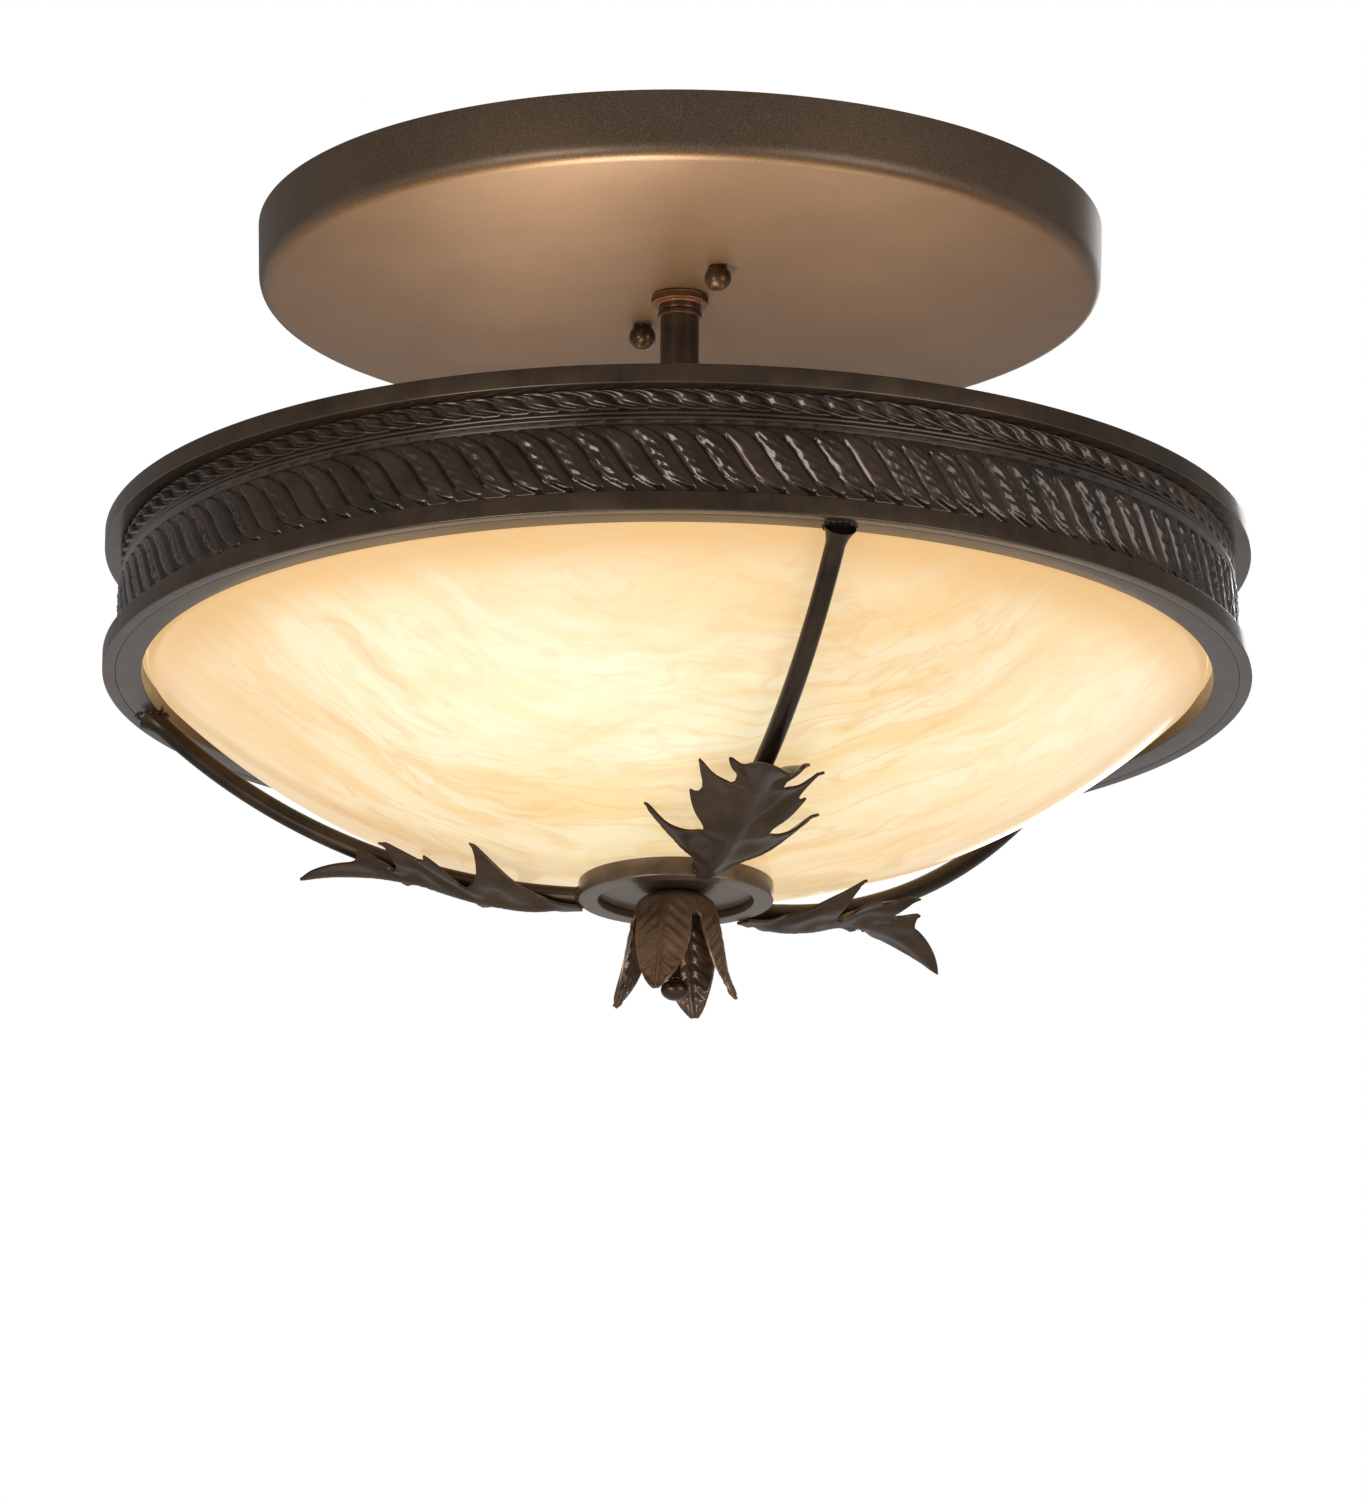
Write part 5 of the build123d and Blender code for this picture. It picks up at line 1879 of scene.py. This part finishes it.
@dataclass
class Finial:
    """The cup of four veined leaves, the threaded insert and the ball."""

    shop: Shop
    azimuth: float = -18.0
    leaf_count: int = 4
    sheet: float = 1.2
    hole: float = 5.4
    flat: float = 10.0
    dome_radius: float = 20.5
    dome_height: float = 8.0
    waist_radius: float = 24.0
    flare: float = 31.0
    length: float = 55.0
    tip_allowance: float = 1.2
    slit: float = 12.0
    half_width: float = 15.0
    fullest: float = 20.0
    ball_radius: float = 7.0
    ball_half_height: float = 5.2
    stem_radius: float = 2.6
    columns: int = 28
    steps: int = 26

    def profile(self) -> list[Point]:
        """(radius, drop below the top) of the cup's outer face."""
        knots = [
            (self.hole, 0.0), (self.flat, 0.15), (self.dome_radius - 4.2, 2.4),
            (self.dome_radius, self.dome_height), (self.waist_radius, 0.45 * self.length),
            (self.waist_radius + 2.4, 0.72 * self.length), (self.flare, self.length - self.tip_allowance),
        ]
        return smooth_line(knots, self.steps // 2)

    def half_span(self, radius: float, drop: float) -> float:
        """Half of a leaf's angle in radians at a drop below the top."""
        whole = pi / self.leaf_count
        taper = self.length - self.fullest if drop > self.fullest else 60.0
        share = abs(drop - self.fullest) / taper
        free = self.half_width * max(1 - share**2.1, 0.0) ** 0.9 / radius
        return min(whole, free + (whole - free) * (1 - eased(self.slit, self.slit + 3.0, drop)))

    def relief(self, across: float, drop: float, share: float) -> float:
        """Midrib, veins and lifted edges of a leaf, in millimetres outward."""
        leafy = eased(3.0, 11.0, drop)
        rib = 0.75 * bell_curve(across, 1.15)
        veins = 0.42 * cos(2 * pi * (drop - 0.85 * abs(across)) / 6.6) * eased(0.8, 3.0, abs(across))
        veins *= 1 - eased(0.78, 1.0, abs(share))
        return leafy * (rib + veins - 0.5 * bell_curve(abs(across) - 2.2, 1.0) + 1.1 * share**4)

    def cup(self) -> None:
        """One leaf with its quarter of the dome, repeated round the axis."""
        top = Room.of("leaf_cup").top
        points: list[Point3] = []
        profile = self.profile()
        for radius, drop in profile:
            span = self.half_span(radius, drop)
            for column in range(self.columns + 1):
                share = 2 * column / self.columns - 1
                across = share * span * radius
                reach = radius + self.relief(across, drop, share) - 0.9 * eased(3.0, 11.0, drop)
                angle = radians(self.azimuth) + share * span
                lift = 0.9 * share**2 * eased(46.0, 55.0, drop)
                points.append((reach * sin(angle), -reach * cos(angle), top - drop + lift))
        faces = []
        row_length = self.columns + 1
        for row in range(len(profile) - 1):
            for column in range(self.columns):
                a = row * row_length + column
                faces.append((a, a + 1, a + 1 + row_length, a + row_length))
        module = new_piece("leaf_quarter", points, faces)
        cup = self.shop.ringed(module, "leaf_cup_veined", self.leaf_count, FINIAL_BRONZE)
        lowest = min(cup.data.polygons, key=lambda face: face.center.z)
        if lowest.normal.dot(Vector((lowest.center.x, lowest.center.y, 0))) < 0:
            cup.data.flip_normals()
        thickened(cup, self.sheet, 0.25)
        fit(painted(cup, FINIAL_BRONZE), Body.FINIAL, Slot.LEAF, "leaf_cup")

    def ball(self) -> None:
        """The ball on its stem, with a small bead where they meet."""
        room = Room.of("finial_ball")
        middle = room.foot + self.ball_half_height
        squash = self.ball_half_height / self.ball_radius
        crown = middle + self.ball_half_height
        outline = [
            *arc((0, middle), self.ball_radius, -90, 62, 26, squash),
            *arc((self.stem_radius + 0.2, crown + 0.2), 0.9, -60, 80, 5),
            (self.stem_radius, crown + 1.6), (self.stem_radius, room.top), (0, room.top),
        ]
        fit_turned("finial_ball_turned", outline, 64, BALL_BRONZE, Body.FINIAL, Slot.BRONZE, "finial_ball")

    def build(self) -> None:
        """Builds the finial."""
        self.cup()
        self.ball()
        keep_node("finial_insert", ZINC)


# Studio


@dataclass
class Studio:
    """Pale floor, soft light, white surroundings and the camera of the photograph."""

    floor_level: float = -2.5
    floor_size: float = 60.0
    ambient: float = 0.45
    mirrored: float = 0.24
    aim_level: float = -0.22
    focal_pixels: float = 10341.0
    picture_height: float = 1500.0
    sensor: float = 36.0
    ring_radius: float = 0.2794
    distance_in_radii: float = 18.0
    elevation: float = 16.61
    pitch: float = 16.24
    yaw: float = 0.03
    roll: float = 0.38

    def world(self) -> None:
        """White where the camera or glass sees it, a darker grey in mirrors, and grey for the light that it
        gives.
        """
        world = bpy.data.worlds.new("studio")
        bpy.context.scene.world = world
        world.use_nodes = True
        nodes = NodeTree(world.node_tree)
        nodes.tree.nodes.clear()
        path = nodes.add("ShaderNodeLightPath")
        level: Value = self.ambient
        shares = {"Is Glossy Ray": self.mirrored, "Is Transmission Ray": 1.0, "Is Camera Ray": 1.0}
        for label, share in shares.items():
            chosen = {"Value": path.outputs[label], "To Min": level, "To Max": share}
            level = nodes.add("ShaderNodeMapRange", chosen).outputs[0]
        light = nodes.add("ShaderNodeBackground", {"Color": (1.0, 1.0, 1.0, 1.0), "Strength": level})
        nodes.add("ShaderNodeOutputWorld", {0: light.outputs[0]})

    def floor(self) -> None:
        """A plain pale floor far below the ceiling."""
        half = self.floor_size / 2 / MM
        level = self.floor_level / MM
        corners = [(-half, -half, level), (half, -half, level), (half, half, level), (-half, half, level)]
        floor_piece = new_piece("floor", corners, [(0, 1, 2, 3)])
        material = bpy.data.materials.new("pale_floor")
        material.use_nodes = True
        shader = material.node_tree.nodes["Principled BSDF"]
        NodeTree(material.node_tree).fill(shader, {
            "Base Color": (0.86, 0.86, 0.86, 1.0), "Roughness": 0.9, "Specular IOR Level": 0.1,
            "Emission Color": (1.0, 1.0, 1.0, 1.0), "Emission Strength": 0.12,
        })
        floor_piece.data.materials.append(material)

    def softbox(self, name: str, spot: Point3, size: float, power: float) -> None:
        """A square soft light aimed at the bowl."""
        light = bpy.data.lights.new(name, "AREA")
        light.size = size
        light.energy = power
        lamp = bpy.data.objects.new(name, light)
        aim = Vector((0, 0, self.aim_level)) - Vector(spot)
        lamp.matrix_world = Matrix.Translation(spot) @ aim.to_track_quat("-Z", "Y").to_matrix().to_4x4()
        bpy.context.scene.collection.objects.link(lamp)

    def camera(self) -> None:
        """The camera below and in front of the light, looking up."""
        data = bpy.data.cameras.new("camera")
        data.sensor_width = self.sensor
        data.lens = self.focal_pixels * self.sensor / self.picture_height
        data.clip_end = 100.0
        tilt = radians(self.elevation)
        away = self.distance_in_radii * self.ring_radius
        ring_foot = Room.of("lower_hoop").foot * MM
        spot = Vector((0, -away * cos(tilt), ring_foot - away * sin(tilt)))
        pitch, yaw, roll = radians(self.pitch), radians(self.yaw), radians(self.roll)
        ahead = Vector((sin(yaw) * cos(pitch), cos(yaw) * cos(pitch), sin(pitch)))
        level_right = ahead.cross(Vector((0, 0, 1))).normalized()
        level_up = level_right.cross(ahead)
        right = level_right * cos(roll) + level_up * sin(roll)
        up = level_up * cos(roll) - level_right * sin(roll)
        camera = bpy.data.objects.new("camera", data)
        camera.matrix_world = Matrix.Translation(spot) @ Matrix((right, up, -ahead)).transposed().to_4x4()
        bpy.context.scene.collection.objects.link(camera)
        bpy.context.scene.camera = camera

    def build(self) -> None:
        """Sets the studio up."""
        bpy.context.scene.view_settings.view_transform = "Standard"
        self.world()
        self.floor()
        self.softbox("key_light", (-1.7, -2.4, -1.3), size=1.3, power=42.0)
        self.softbox("fill_light", (2.0, -1.9, -0.9), size=1.6, power=26.0)
        self.softbox("back_light", (0.6, 2.6, 0.9), size=1.8, power=30.0)
        self.camera()


def main() -> None:
    """Builds the studio, then the light from the ceiling down."""
    logging.basicConfig(level=logging.INFO, format="%(message)s")
    shop = Shop()
    Studio().build()
    Canopy(shop).build()
    Hangings(shop).build()
    Lamp(shop, 1, azimuth=-20.0, light_power=3.6).build()
    Lamp(shop, 2, azimuth=100.0, light_power=0.6).build()
    Lamp(shop, 3, azimuth=220.0, light_power=0.9).build()
    OrnamentedRing(shop).build()
    GlassBowl().build()
    Hub().build()
    Arms(shop, ArmLine()).build()
    Finial(shop).build()


if __name__ == "__main__":
    main()
